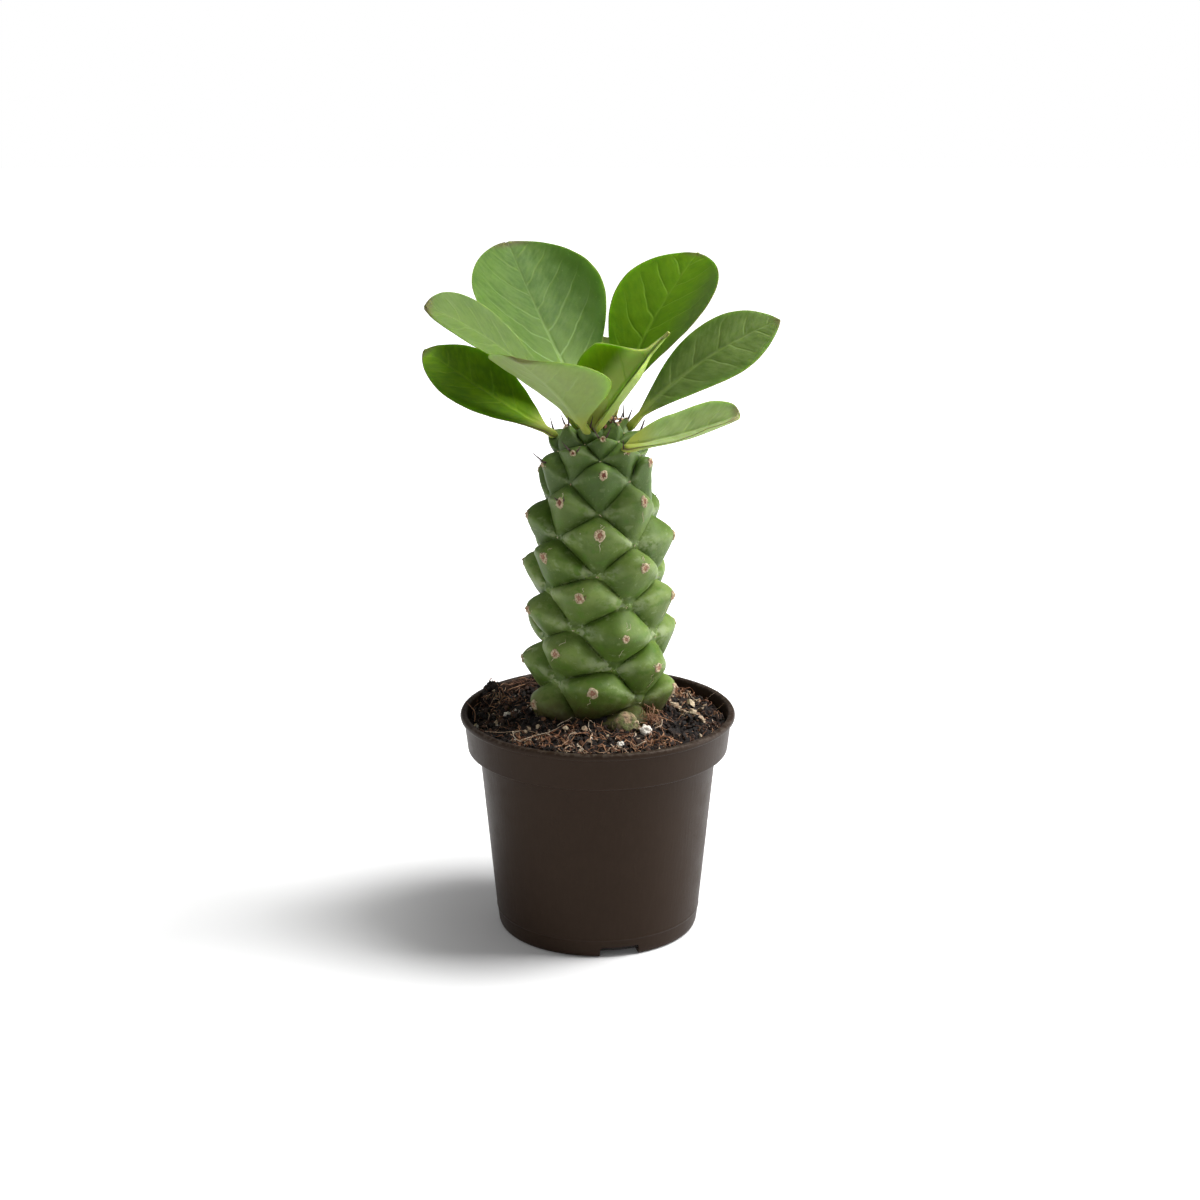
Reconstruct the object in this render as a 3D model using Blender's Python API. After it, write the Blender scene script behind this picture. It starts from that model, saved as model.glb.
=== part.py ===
"""Potted euphorbia: one knobbly upright stem with nine fleshy leaves, rooted in the potting mix of a
round plastic nursery pot.  Metres, +Z up, -Y towards the front.  The origin is the middle of the
pot's underside, which is the flat face the plant stands on."""
import bpy
import bmesh
from math import cos, sin, pi, radians, sqrt
from mathutils import Matrix, Vector

GAP = 0.0003                  # clearance kept between pieces that touch

# pot
POT_HEIGHT = 0.0855
RIM_RADIUS = 0.0525
COLLAR_TOP_RADIUS = 0.0510    # outside of the collar, just under the rim bead
COLLAR_LOW_RADIUS = 0.0496
COLLAR_LOW = 0.0708           # height of the collar's lower edge
BODY_TOP_RADIUS = 0.0453
BASE_RADIUS = 0.0385
WALL = 0.0012
FLOOR = 0.0015
POT_SEGMENTS = 72
DRAIN_SLOTS = 3
DRAIN_WIDTH = 0.015
DRAIN_HEIGHT = 0.004
FIRST_DRAIN = -77.5           # degrees round from +X: just right of the front

# potting mix
SOIL_SEGMENTS = 56
SOIL_RIM_LEVEL = 0.0805       # height of the mix where it meets the pot
SOIL_MOUND = 0.0060           # how much higher it is round the stem
SOCKET_RADIUS = 0.0268        # hole round the root end of the stem
SOCKET_FLOOR = 0.0600

# stem
SHOULDER = 0.1835             # height where the column turns in to the crown
CROWN_RADIUS = 0.0162         # valley radius at the shoulder
CROWN_HEIGHT = 0.0120
VALLEY_RADIUS = 0.0205
FIRST_TUBERCLE = -13
LAST_TUBERCLE = 38
FACETS = 5                    # faces along each side of a tubercle


def remove_everything():
    for thing in list(bpy.data.objects):
        bpy.data.objects.remove(thing, do_unlink=True)


def material(name, colour, roughness, metallic=0.0):
    mat = bpy.data.materials.new(name)
    mat.use_nodes = True
    shader = mat.node_tree.nodes["Principled BSDF"]
    shader.inputs["Base Color"].default_value = (*colour, 1.0)
    shader.inputs["Roughness"].default_value = roughness
    shader.inputs["Metallic"].default_value = metallic
    mat.diffuse_color = (*colour, 1.0)
    return mat


def make_object(name, bm, mat, smooth_below=None):
    bmesh.ops.recalc_face_normals(bm, faces=bm.faces)
    mesh = bpy.data.meshes.new(name)
    bm.to_mesh(mesh)
    bm.free()
    if smooth_below is not None:
        mesh.shade_smooth()
        mesh.set_sharp_from_angle(angle=radians(smooth_below))
    obj = bpy.data.objects.new(name, mesh)
    obj.data.materials.append(mat)
    bpy.context.scene.collection.objects.link(obj)
    return obj


def turned(profile, segments):
    """Solid of revolution about Z from (radius, height) points that start and end on the axis."""
    bm = bmesh.new()
    verts = [bm.verts.new((r, 0.0, z)) for r, z in profile]
    edges = [bm.edges.new(pair) for pair in zip(verts, verts[1:])]
    bmesh.ops.spin(bm, geom=verts + edges, cent=(0, 0, 0), axis=(0, 0, 1),
                   angle=2 * pi, steps=segments, use_merge=True)
    bmesh.ops.remove_doubles(bm, verts=bm.verts, dist=1e-6)
    return bm


# ---------------------------------------------------------------- pot
def pot_profile():
    under_bead = POT_HEIGHT - 0.0024
    outside = [
        (0.0, 0.0),
        (BASE_RADIUS - 0.0014, 0.0),
        (BASE_RADIUS - 0.0004, 0.0004),
        (BASE_RADIUS, 0.0014),
        (BASE_RADIUS + 0.0005, 0.0068),
        (BASE_RADIUS + 0.0008, 0.0072),
        (BASE_RADIUS + 0.0007, 0.0078),
        (BODY_TOP_RADIUS, COLLAR_LOW),
        (COLLAR_LOW_RADIUS - 0.0006, COLLAR_LOW),
        (COLLAR_LOW_RADIUS, COLLAR_LOW + 0.0007),
        (COLLAR_TOP_RADIUS, under_bead),
        (RIM_RADIUS - 0.0004, under_bead + 0.0003),
        (RIM_RADIUS, under_bead + 0.0010),
        (RIM_RADIUS - 0.0002, POT_HEIGHT - 0.0004),
        (RIM_RADIUS - 0.0008, POT_HEIGHT),
    ]
    inside = [
        (COLLAR_TOP_RADIUS - WALL + 0.0003, POT_HEIGHT),
        (COLLAR_TOP_RADIUS - WALL, POT_HEIGHT - 0.0004),
        (COLLAR_LOW_RADIUS - WALL, COLLAR_LOW + WALL + 0.0006),
        (COLLAR_LOW_RADIUS - WALL - 0.0006, COLLAR_LOW + WALL),
        (BODY_TOP_RADIUS - WALL, COLLAR_LOW + WALL),
        (BASE_RADIUS - WALL, FLOOR + 0.0006),
        (BASE_RADIUS - WALL - 0.0006, FLOOR),
        (0.0, FLOOR),
    ]
    return outside + inside


def make_pot():
    plastic = material("pot_plastic", (0.030, 0.024, 0.021), 0.55)
    pot = make_object("pot", turned(pot_profile(), POT_SEGMENTS), plastic, smooth_below=35)
    for number in range(DRAIN_SLOTS):
        turn = radians(FIRST_DRAIN + number * 360 / DRAIN_SLOTS)
        bm = bmesh.new()
        size = Matrix.Diagonal((0.016, DRAIN_WIDTH, 2 * DRAIN_HEIGHT, 1.0))
        place = Matrix.Rotation(turn, 4, "Z") @ Matrix.Translation((BASE_RADIUS - 0.001, 0, 0))
        bmesh.ops.create_cube(bm, size=1.0, matrix=place @ size)
        cutter = make_object(f"cutter_drain_{number + 1}", bm, plastic)
        cutter.hide_render = True
        cutter.display_type = "WIRE"
        cut = pot.modifiers.new(f"drain_{number + 1}", "BOOLEAN")
        cut.operation = "DIFFERENCE"
        cut.solver = "EXACT"
        cut.object = cutter
    return pot


# ---------------------------------------------------------------- potting mix
def soil_level(x, y):
    """Height of the mix: a low mound round the stem, fuller at the front, with clods and a hollow."""
    r = sqrt(x * x + y * y)
    mound = SOIL_MOUND * max(0.0, 1.0 - (r - 0.026) / 0.026) ** 1.3
    front = 0.0030 * max(0.0, -y / 0.05) ** 1.5
    clods = 0.0009 * sin(270 * x + 1.0) * cos(310 * y) + 0.0006 * sin(560 * x) * sin(520 * y + 0.6)
    clump = 0.0068 * bell(x, y, -0.0412, 0.0222, 0.0058)
    hollow = -0.0040 * bell(x, y, -0.0310, 0.0230, 0.0070)
    return SOIL_RIM_LEVEL + mound + front + clods + clump + hollow


def bell(x, y, cx, cy, spread):
    return 2.718 ** (-((x - cx) ** 2 + (y - cy) ** 2) / spread ** 2)


def wall_inside(z):
    """Inner radius of the pot's collar at height z."""
    low, high = COLLAR_LOW + WALL + 0.0006, POT_HEIGHT - 0.0004
    climb = (z - low) / (high - low)
    return COLLAR_LOW_RADIUS - WALL + climb * (COLLAR_TOP_RADIUS - COLLAR_LOW_RADIUS)


def make_soil():
    mix = material("potting_mix", (0.045, 0.030, 0.021), 0.95)
    skin = WALL + GAP
    side = [
        (BASE_RADIUS - skin - 0.0010, FLOOR + GAP),
        (BASE_RADIUS - skin, FLOOR + 0.0015),
        (BODY_TOP_RADIUS - skin, COLLAR_LOW + WALL - 0.001),
        (BODY_TOP_RADIUS - skin, COLLAR_LOW + WALL + GAP),
        (COLLAR_LOW_RADIUS - skin - 0.0008, COLLAR_LOW + WALL + 2 * GAP),
    ]
    top_radii = [0.0470, 0.0440, 0.0410, 0.0375, 0.0340, 0.0310, 0.0284, SOCKET_RADIUS]
    socket = [(0.0248, 0.0700), (0.0215, SOCKET_FLOOR)]

    bm = bmesh.new()
    rings = []
    for r, z in side:
        rings.append([(r, z)] * SOIL_SEGMENTS)
    edge = []
    for i in range(SOIL_SEGMENTS):
        turn = 2 * pi * i / SOIL_SEGMENTS
        z = soil_level(0.049 * cos(turn), 0.049 * sin(turn))
        edge.append((wall_inside(z) - GAP, z))
    rings.append(edge)
    for r in top_radii:
        ring = []
        for i in range(SOIL_SEGMENTS):
            turn = 2 * pi * i / SOIL_SEGMENTS
            ring.append((r, soil_level(r * cos(turn), r * sin(turn))))
        rings.append(ring)
    for r, z in socket:
        rings.append([(r, z)] * SOIL_SEGMENTS)
    loops = []
    for ring in rings:
        loop = []
        for i, (r, z) in enumerate(ring):
            turn = 2 * pi * i / SOIL_SEGMENTS
            loop.append(bm.verts.new((r * cos(turn), r * sin(turn), z)))
        loops.append(loop)
    for lower, upper in zip(loops, loops[1:]):
        for i in range(SOIL_SEGMENTS):
            j = (i + 1) % SOIL_SEGMENTS
            bm.faces.new((lower[i], lower[j], upper[j], upper[i]))
    bm.faces.new(loops[0][::-1])
    bm.faces.new(loops[-1])
    return make_object("potting_mix", bm, mix, smooth_below=50)


# ---------------------------------------------------------------- stem
# No plant grows quite evenly: how far these tubercles, and the corners under them, stand from their
# place on the spiral, in degrees of turn and millimetres of height.
UNEVEN_TIPS = {
    -12: (10, -3.8), -10: (14, -0.6), -9: (1, 4.0), -7: (3, -1.3), -4: (-1, 0), -2: (-2, -0.4), -1: (-6, -1),
    1: (1.5, -1.5), 3: (-12, 4.0), 4: (-7, -0.9), 6: (5.5, 1), 9: (0.6, 1), 12: (2.6, -0.3), 14: (-2, 2),
    17: (-3, 0.3), 19: (-2, 1.6), 20: (-4, -0.4), 22: (-3, -1.4), 25: (-3, 0.3), 27: (-6, -0.8),
    30: (-3, 0.4), 32: (-6, 0.9), 33: (0.6, -0.6), 35: (3.5, 0.2)}
UNEVEN_CORNERS = {
    -12: (6, 1.2), -10: (-1, 3.6), -7: (-1, -0.1), -4: (-5, -1.4), -2: (6, -1.1), 1: (-2, -0.3),
    4: (-6, -0.2), 6: (-4, 0.5), 9: (4, -0.5), 12: (-4, 0.7), 14: (-1, 1.8), 17: (-1, 2.2), 19: (4, 2),
    20: (4, 2.6), 22: (5, 1), 25: (-3.5, 2.4), 27: (6, -0.2)}


def shifted(place, shift):
    return place + Vector((shift[0], shift[1] / 1000))


def tubercle_place(n):
    """Turn (degrees) and meridian length of the n-th tubercle, counted down from the shoulder.  The
    top of the column leans left, and its tubercles crowd towards the front."""
    turn = 141.9 - 135.14 * n - 0.0556 * n * n
    if n >= 1:
        along = 0.18647 - 0.002947 * n + 0.0000038 * n * n
    else:
        along = SHOULDER + 0.00216 * (1 - n)
    top = smoothstep(along, 0.150, 0.180) * sin(radians(turn))
    return shifted(Vector((turn - 22 * top, along + 0.0035 * top)), UNEVEN_TIPS.get(n, (0, 0)))


def near(turn, reference):
    return turn - 360 * round((turn - reference) / 360)


def corner(n):
    """Corner of the lattice under tubercle n, shared by n, n + 3, n + 5 and n + 8."""
    first = tubercle_place(n)
    total = first.copy()
    for step in (3, 5, 8):
        other = tubercle_place(n + step)
        other.x = near(other.x, first.x)
        total += other
    drop = 4.5 if n >= 1 else 4.5 - 0.2 * (1 - n)
    return shifted(shifted(total / 4, (0, -drop)), UNEVEN_CORNERS.get(n, (0, 0)))


def smoothstep(x, low, high):
    t = min(1.0, max(0.0, (x - low) / (high - low)))
    return t * t * (3 - 2 * t)


def skin_point(turn, along, swell):
    """Point of the stem's skin: `swell` is 0 in a groove and 1 on a tubercle's tip."""
    angle = radians(turn - 90)
    if along > SHOULDER:
        lean = min(pi / 2, (along - SHOULDER) / 0.0240)
        r = CROWN_RADIUS * cos(lean)
        z = SHOULDER + CROWN_HEIGHT * sin(lean)
        height = 0.0058 * (0.65 + 0.35 * cos(lean))
    else:
        lean = 0.0
        taper = smoothstep(along, 0.155, SHOULDER + 0.004) / smoothstep(SHOULDER, 0.155, SHOULDER + 0.004)
        r = VALLEY_RADIUS - (VALLEY_RADIUS - CROWN_RADIUS) * taper
        z = along
        height = 0.0080 - 0.0022 * taper + 0.0012 * bell(z, 0, 0.108, 0, 0.022)
    buried = 1.0 - smoothstep(z, 0.084, 0.095)
    height *= 1.0 - 0.85 * buried
    r += 0.0012 * buried
    r += height * swell * cos(lean)
    z += height * swell * sin(lean)
    sway = 0.0010 * bell(z, 0, 0.112, 0, 0.030)
    return Vector((r * cos(angle) + sway, r * sin(angle), z))


def make_stem():
    green = material("stem_skin", (0.135, 0.190, 0.075), 0.55)
    bm = bmesh.new()
    for n in range(FIRST_TUBERCLE, LAST_TUBERCLE + 1):
        tip = tubercle_place(n)
        top, left, bottom, right = (corner(n - 8), corner(n - 5), corner(n), corner(n - 3))
        for point in (top, left, bottom, right):
            point.x = near(point.x, tip.x)
        middle = (top + left + bottom + right) / 4
        grid = []
        for i in range(FACETS + 1):
            row = []
            u = -1 + 2 * i / FACETS
            for j in range(FACETS + 1):
                v = -1 + 2 * j / FACETS
                a, b = (1 + u) / 2, (1 + v) / 2
                flat = (bottom * (1 - a) + right * a) * (1 - b) + (left * (1 - a) + top * a) * b
                flat = flat + (tip - middle) * (1 - u * u) * (1 - v * v)
                swell = (1 - min(1.0, (u ** 6 + v ** 6) ** (1 / 6))) ** 0.85
                row.append(bm.verts.new(skin_point(flat.x, flat.y, swell)))
            grid.append(row)
        for i in range(FACETS):
            for j in range(FACETS):
                bm.faces.new((grid[i][j], grid[i + 1][j], grid[i + 1][j + 1], grid[i][j + 1]))
    bmesh.ops.remove_doubles(bm, verts=bm.verts, dist=2e-6)
    open_edges = [edge for edge in bm.edges if edge.is_boundary]
    crown = [edge for edge in open_edges if edge.verts[0].co.z > 0.15]
    root = [edge for edge in open_edges if edge.verts[0].co.z < 0.15]
    apex = bm.verts.new((0, 0, SHOULDER + CROWN_HEIGHT + 0.0025))
    for edge in crown:
        bm.faces.new((*edge.verts, apex))
    # the root end narrows to a flat foot below the surface of the mix
    skirt = bmesh.ops.extrude_edge_only(bm, edges=root)["geom"]
    foot = [v for v in skirt if isinstance(v, bmesh.types.BMVert)]
    for v in foot:
        v.co = Vector((v.co.x, v.co.y, 0)).normalized() * 0.0175
        v.co.z = SOCKET_FLOOR + GAP
    under = bm.verts.new((0, 0, SOCKET_FLOOR + GAP))
    for edge in [e for e in bm.edges if e.is_boundary]:
        bm.faces.new((*edge.verts, under))
    return make_object("stem", bm, green, smooth_below=40)


# ---------------------------------------------------------------- leaves
# base: where the stalk meets its tubercle.  heading: turn of the leaf round from +X.  rise: slope of
# the midrib at the stalk, and curl: how much that slope changes towards the tip.  full: how far out
# the blade is widest.  blunt: under 0.5 a broad tip, over 0.5 a pointed one.  cup: how far each half
# folds up from the midrib, and fold: under 1 a sharp fold.  roll: turn of the blade about its midrib.
# pinch: how much of the width is lost where the tip is drawn out.
LEAVES = {
    "leaf_back_left": dict(base=(-0.0030, 0.0069, 0.1975), heading=131, rise=47.5, curl=8, length=0.0770,
                           width=0.059, cup=15, roll=-5, full=0.68, blunt=0.67),
    "leaf_left": dict(base=(-0.0080, -0.0005, 0.1961), heading=191, rise=56, curl=-33, length=0.0723,
                      width=0.0334, cup=11, roll=-23, full=0.75, blunt=0.59),
    "leaf_low_left": dict(base=(-0.0163, 0.0010, 0.1924), heading=162, rise=27, curl=4.5, length=0.0585,
                          width=0.0346, cup=8, roll=-20, full=0.63, blunt=0.80),
    "leaf_front_left": dict(base=(-0.0039, -0.0125, 0.1963), heading=233, rise=49, curl=-20,
                            length=0.0508, width=0.052, cup=10, roll=0, full=0.66, blunt=0.90, fold=0.5),
    "leaf_front": dict(base=(-0.0013, -0.0094, 0.1958), heading=-2, rise=59, curl=-11, length=0.0454,
                       width=0.0406, cup=56, roll=52, full=0.46, blunt=1.08, fold=0.35, pinch=0.81),
    "leaf_back_right": dict(base=(0.0048, 0.0057, 0.1964), heading=45, rise=64, curl=-27, length=0.0753,
                            width=0.047, cup=8, roll=2, full=0.70, blunt=0.76),
    "leaf_right": dict(base=(0.0119, 0.0019, 0.1949), heading=10, rise=49, curl=-30, length=0.0689,
                       width=0.0245, cup=3, roll=52, full=0.65, blunt=0.84),
    "leaf_low_right": dict(base=(0.0101, -0.0170, 0.1910), heading=-17, rise=14, curl=9, length=0.0442,
                           width=0.0225, cup=24, roll=22, full=0.61, blunt=0.30, fold=0.5),
    "leaf_back": dict(base=(0.0009, 0.0122, 0.1950), heading=88, rise=33, curl=2, length=0.045,
                      width=0.026, cup=12, roll=0, full=0.62, blunt=0.50),
}
STALK_WIDTH = 0.0036
STALK_THICKNESS = 0.0030
BLADE_THICKNESS = 0.0016
LEAF_ROWS = 13
LEAF_COLUMNS = 8


def half_width(t, width, full, blunt, pinch):
    rise = blunt * full / (1 - full)
    most = full ** rise * (1 - full) ** blunt
    blade = width / 2 * t ** rise * (1 - t) ** blunt / most * (1 - pinch * smoothstep(t, 0.58, 0.80))
    return max(blade, STALK_WIDTH / 2 * max(0.0, 1 - 3 * t))


def make_leaf(name, base, heading, rise, curl, length, width, cup, roll, full, blunt, fold=1.0,
              pinch=0.0):
    green = bpy.data.materials.get("leaf_green") or material("leaf_green", (0.160, 0.270, 0.070), 0.42)
    bm = bmesh.new()
    centre = Vector(base)
    sections = []
    previous = 0.0
    for row in range(LEAF_ROWS + 1):
        t = 1 - (1 - row / LEAF_ROWS) ** 1.5
        slope = radians(rise + curl * (t + previous) / 2)
        turn = radians(heading)
        step = length * (t - previous)
        centre = centre + step * Vector((cos(slope) * cos(turn), cos(slope) * sin(turn), sin(slope)))
        previous = t
        slope = radians(rise + curl * t)
        along = Vector((cos(slope) * cos(turn), cos(slope) * sin(turn), sin(slope)))
        across = Vector((-sin(turn), cos(turn), 0))
        upward = along.cross(across)
        tilt = Matrix.Rotation(radians(roll), 3, along)
        across, upward = tilt @ across, tilt @ upward
        half = half_width(t, width, full, blunt, pinch)
        thick = BLADE_THICKNESS + (STALK_THICKNESS - BLADE_THICKNESS) * max(0.0, 1 - t / 0.3)
        if row == LEAF_ROWS:
            sections.append([bm.verts.new(centre)])
            continue
        upper, lower = [], []
        for column in range(LEAF_COLUMNS + 1):
            u = -1 + 2 * column / LEAF_COLUMNS
            lift = radians(cup) * abs(u) ** fold
            point = centre + across * half * u * cos(lift) + upward * half * abs(u) * sin(lift)
            body = thick / 2 * sqrt(max(0.0, 1 - u * u))
            upper.append(bm.verts.new(point + upward * body))
            if 0 < column < LEAF_COLUMNS:
                lower.append(bm.verts.new(point - upward * body))
        sections.append(upper + lower[::-1])
    for near_ring, far_ring in zip(sections, sections[1:]):
        count = len(near_ring)
        for i in range(count):
            j = (i + 1) % count
            if len(far_ring) == 1:
                bm.faces.new((near_ring[i], near_ring[j], far_ring[0]))
            else:
                bm.faces.new((near_ring[i], near_ring[j], far_ring[j], far_ring[i]))
    bm.faces.new(sections[0][::-1])
    return make_object(name, bm, green, smooth_below=60)


# ---------------------------------------------------------------- loose bits on the mix
def make_grain(name, place, size, turn, mat):
    bm = bmesh.new()
    bmesh.ops.create_icosphere(bm, subdivisions=1, radius=0.5)
    stretch = Matrix.Diagonal((*size, 1.0))
    bmesh.ops.transform(bm, matrix=Matrix.Rotation(radians(turn), 4, "Z") @ stretch, verts=bm.verts)
    x, y = place
    lift = size[2] / 2 + 2 * GAP
    bmesh.ops.translate(bm, vec=(x, y, soil_level(x, y) + lift), verts=bm.verts)
    return make_object(name, bm, mat)


remove_everything()
make_pot()
make_soil()
make_stem()
for leaf_name, shape in LEAVES.items():
    make_leaf(leaf_name, **shape)

perlite = material("perlite_white", (0.700, 0.670, 0.610), 0.85)
make_grain("perlite_front", (0.0085, -0.0412), (0.0028, 0.0024, 0.0022), 20, perlite)
make_grain("perlite_right", (0.0178, -0.0300), (0.0050, 0.0040, 0.0036), 60, perlite)
make_grain("perlite_left", (-0.0344, -0.0052), (0.0026, 0.0022, 0.0020), 10, perlite)
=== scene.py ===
import random
from math import cos, exp, hypot, pi, radians, sin, sqrt

import bmesh
import bpy
from mathutils import Matrix, Vector, noise


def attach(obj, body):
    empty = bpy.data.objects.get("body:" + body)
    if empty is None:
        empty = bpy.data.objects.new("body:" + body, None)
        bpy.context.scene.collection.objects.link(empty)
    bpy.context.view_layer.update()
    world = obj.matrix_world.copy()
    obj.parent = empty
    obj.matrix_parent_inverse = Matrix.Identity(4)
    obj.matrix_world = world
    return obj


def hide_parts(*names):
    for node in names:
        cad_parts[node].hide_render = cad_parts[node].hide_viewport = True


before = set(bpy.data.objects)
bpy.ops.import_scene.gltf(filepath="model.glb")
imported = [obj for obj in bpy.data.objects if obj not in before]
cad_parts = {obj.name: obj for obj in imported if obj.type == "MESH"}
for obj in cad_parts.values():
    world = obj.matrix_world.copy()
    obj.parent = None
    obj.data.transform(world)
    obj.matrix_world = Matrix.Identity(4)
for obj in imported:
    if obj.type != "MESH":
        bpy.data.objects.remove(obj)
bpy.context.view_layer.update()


# ---- Table: camera, white sweep and soft lamps.
# The plant stands on a white sweep under a big soft window to its right, which throws a soft grey
# shadow across the table to the left.

LOOK_DOWN = 16


def set_down(name, data):
    """Puts a new camera, lamp or mesh into the scene."""
    made = bpy.data.objects.new(name, data)
    bpy.context.scene.collection.objects.link(made)
    return made


camera = set_down("camera", bpy.data.cameras.new("camera"))
camera.location = (0, -0.8434, 0.3707)
camera.rotation_euler = (radians(90 - LOOK_DOWN), 0, 0)
camera.data.sensor_width = 36
camera.data.lens = 69.84
camera.data.shift_x = 0.0019
camera.data.clip_start = 0.01
bpy.context.scene.camera = camera
bpy.context.scene.view_settings.view_transform = "Standard"


def lamp(name, place, aim, width, height, watts):
    light = bpy.data.lights.new(name, "AREA")
    light.shape = "RECTANGLE"
    light.size = width
    light.size_y = height
    light.energy = watts
    holder = set_down(name, light)
    holder.location = place
    holder.rotation_euler = (Vector(aim) - Vector(place)).to_track_quat("-Z", "Y").to_euler()


lamp("window", (0.68, 0.0, 1.22), (0, 0, 0.08), 0.60, 0.60, 22.0)
lamp("overhead", (0.10, 0.15, 1.30), (0, 0, 0.15), 0.9, 0.9, 2.0)
lamp("front_fill", (-1.05, -0.95, 0.22), (0, 0, 0.14), 0.9, 0.5, 2.8)
lamp("left_card", (-0.80, 0.25, 0.35), (0, 0, 0.14), 0.6, 0.8, 0.8)
lamp("right_card", (0.90, 0.10, 0.30), (0, 0, 0.10), 0.5, 0.6, 6.2)


class Channel:
    """One output of a finish's nodes, added, multiplied and compared as a plain number would be."""

    def __init__(self, tree, socket):
        self.tree = tree
        self.socket = socket

    def node(self, kind, inputs=(), out=0, **settings):
        """Adds a node, makes its settings, then fills its inputs, and gives its output `out`."""
        made = self.tree.nodes.new(kind)
        stops = settings.pop("stops", None)
        for name, value in settings.items():
            setattr(made, name, value)
        if stops:
            ramp = made.color_ramp
            while len(ramp.elements) < len(stops):
                ramp.elements.new(0.5)
            for element, (place, colour) in zip(ramp.elements, stops):
                element.position = place
                element.color = (*colour, 1)
        for name, value in dict(inputs).items():
            if isinstance(value, Channel):
                self.tree.links.new(value.socket, made.inputs[name])
            else:
                made.inputs[name].default_value = value
        return Channel(self.tree, made.outputs[out])

    def math(self, operation, *others):
        return self.node("ShaderNodeMath", dict(enumerate((self, *others))), operation=operation)

    def flipped(self, operation, other):
        return self.node("ShaderNodeMath", {0: other, 1: self}, operation=operation)

    def __add__(self, other): return self.math("ADD", other)
    def __radd__(self, other): return self.math("ADD", other)
    def __sub__(self, other): return self.math("SUBTRACT", other)
    def __rsub__(self, other): return self.flipped("SUBTRACT", other)
    def __mul__(self, other): return self.math("MULTIPLY", other)
    def __rmul__(self, other): return self.math("MULTIPLY", other)
    def __truediv__(self, other): return self.math("DIVIDE", other)
    def __rtruediv__(self, other): return self.flipped("DIVIDE", other)
    def __lt__(self, other): return self.math("LESS_THAN", other)
    def __gt__(self, other): return self.math("GREATER_THAN", other)
    def __abs__(self): return self.math("ABSOLUTE")

    def ramp(self, low, high, from_value=0.0, to_value=1.0):
        """Soft step: from_value below low, to_value above high."""
        return self.node("ShaderNodeMapRange", {0: self, 1: low, 2: high, 3: from_value, 4: to_value},
                         interpolation_type="SMOOTHSTEP")

    def mix(self, first, second):
        """Colour that is `first` where this is 0 and `second` where it is 1."""
        paint = [(*c, 1) if isinstance(c, tuple) else c for c in (first, second)]
        return self.node("ShaderNodeMix", {0: self, 6: paint[0], 7: paint[1]}, out=2, data_type="RGBA")

    def shades(self, *stops):
        """Colour that runs through the (value, colour) stops as this rises."""
        return self.node("ShaderNodeValToRGB", {0: self}, stops=stops)

    def attribute(self, name):
        """What the piece's points hold under this name."""
        return self.node("ShaderNodeAttribute", out="Fac", attribute_name=name)

    def part(self, axis):
        return self.node("ShaderNodeSeparateXYZ", {0: self}, out=axis)

    def stretched(self, x, y, z):
        return self.node("ShaderNodeVectorMath", {0: self, 1: (x, y, z)}, operation="MULTIPLY")

    def noise(self, size, detail=3.0, rough=0.55):
        """Cloudy 0 to 1 pattern with patches about `size` metres across."""
        return self.node("ShaderNodeTexNoise", {"Vector": self, "Scale": 1 / size, "Detail": detail,
                                                "Roughness": rough})

    def specks(self, spacing, radius, keep):
        """1 inside round dots on a random lattice; `keep` is the share of the lattice that has one."""
        inputs = {"Vector": self, "Scale": 1 / spacing}
        away = self.node("ShaderNodeTexVoronoi", inputs, out="Distance")
        lot = self.node("ShaderNodeTexVoronoi", inputs, out="Color").part("X")
        return away.ramp(radius / spacing * 0.7, radius / spacing * 1.3, 1.0, 0.0) * (lot < keep)

    def bump(self, depth, strength=1.0):
        """Normal that raises the surface by `depth` metres where this is 1."""
        return self.node("ShaderNodeBump", {"Height": self, "Distance": depth, "Strength": strength})


def place_in(tree):
    """Place on the piece, in metres: the channel that the patterns of a finish start from."""
    return Channel(tree, tree.nodes.new("ShaderNodeTexCoord").outputs["Object"])


def start_finish(name):
    finish = bpy.data.materials.new(name)
    finish.use_nodes = True
    return finish, finish.node_tree.nodes["Principled BSDF"], place_in(finish.node_tree)


def wire(shader, **channels):
    """Links or sets the shader's sockets; an underscore stands for the space in a socket's name."""
    for name, channel in channels.items():
        socket = shader.inputs[name.replace("_", " ")]
        if isinstance(channel, Channel):
            channel.tree.links.new(channel.socket, socket)
        else:
            socket.default_value = channel


def deselect():
    if bpy.context.object and bpy.context.object.mode != "OBJECT":
        bpy.ops.object.mode_set(mode="OBJECT")
    bpy.ops.object.select_all(action="DESELECT")


deselect()
bpy.ops.mesh.primitive_plane_add(size=6, location=(0, 0, -0.0002))
table = bpy.context.object
table.name = "table"
sweep, shader, place = start_finish("white_sweep")
# The sweep glows a little round the pot and to full white further off, but lights nothing.
camera_ray = place.node("ShaderNodeLightPath", out="Is Camera Ray")
seen = camera_ray.math("MAXIMUM", place.node("ShaderNodeLightPath", out="Is Glossy Ray"))
away = place.node("ShaderNodeVectorMath", {0: place}, out="Value", operation="LENGTH")
far = away.ramp(0.05, 0.16) * 0.40 + away.ramp(0.22, 0.60) * 0.57
wire(shader, Base_Color=(0.84, 0.84, 0.84, 1), Roughness=0.9, Specular_IOR_Level=0.0,
     Emission_Color=(seen * (0.03 + far)).mix((0, 0, 0), (1, 1, 1)), Emission_Strength=1.0)
table.data.materials.append(sweep)

room = bpy.data.worlds.new("room")
bpy.context.scene.world = room
room.use_nodes = True
camera_ray = place_in(room.node_tree).node("ShaderNodeLightPath", out="Is Camera Ray")
wire(room.node_tree.nodes["Background"], Color=(1, 1, 1, 1), Strength=camera_ray.ramp(0, 1, 0.20, 1.0))


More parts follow.
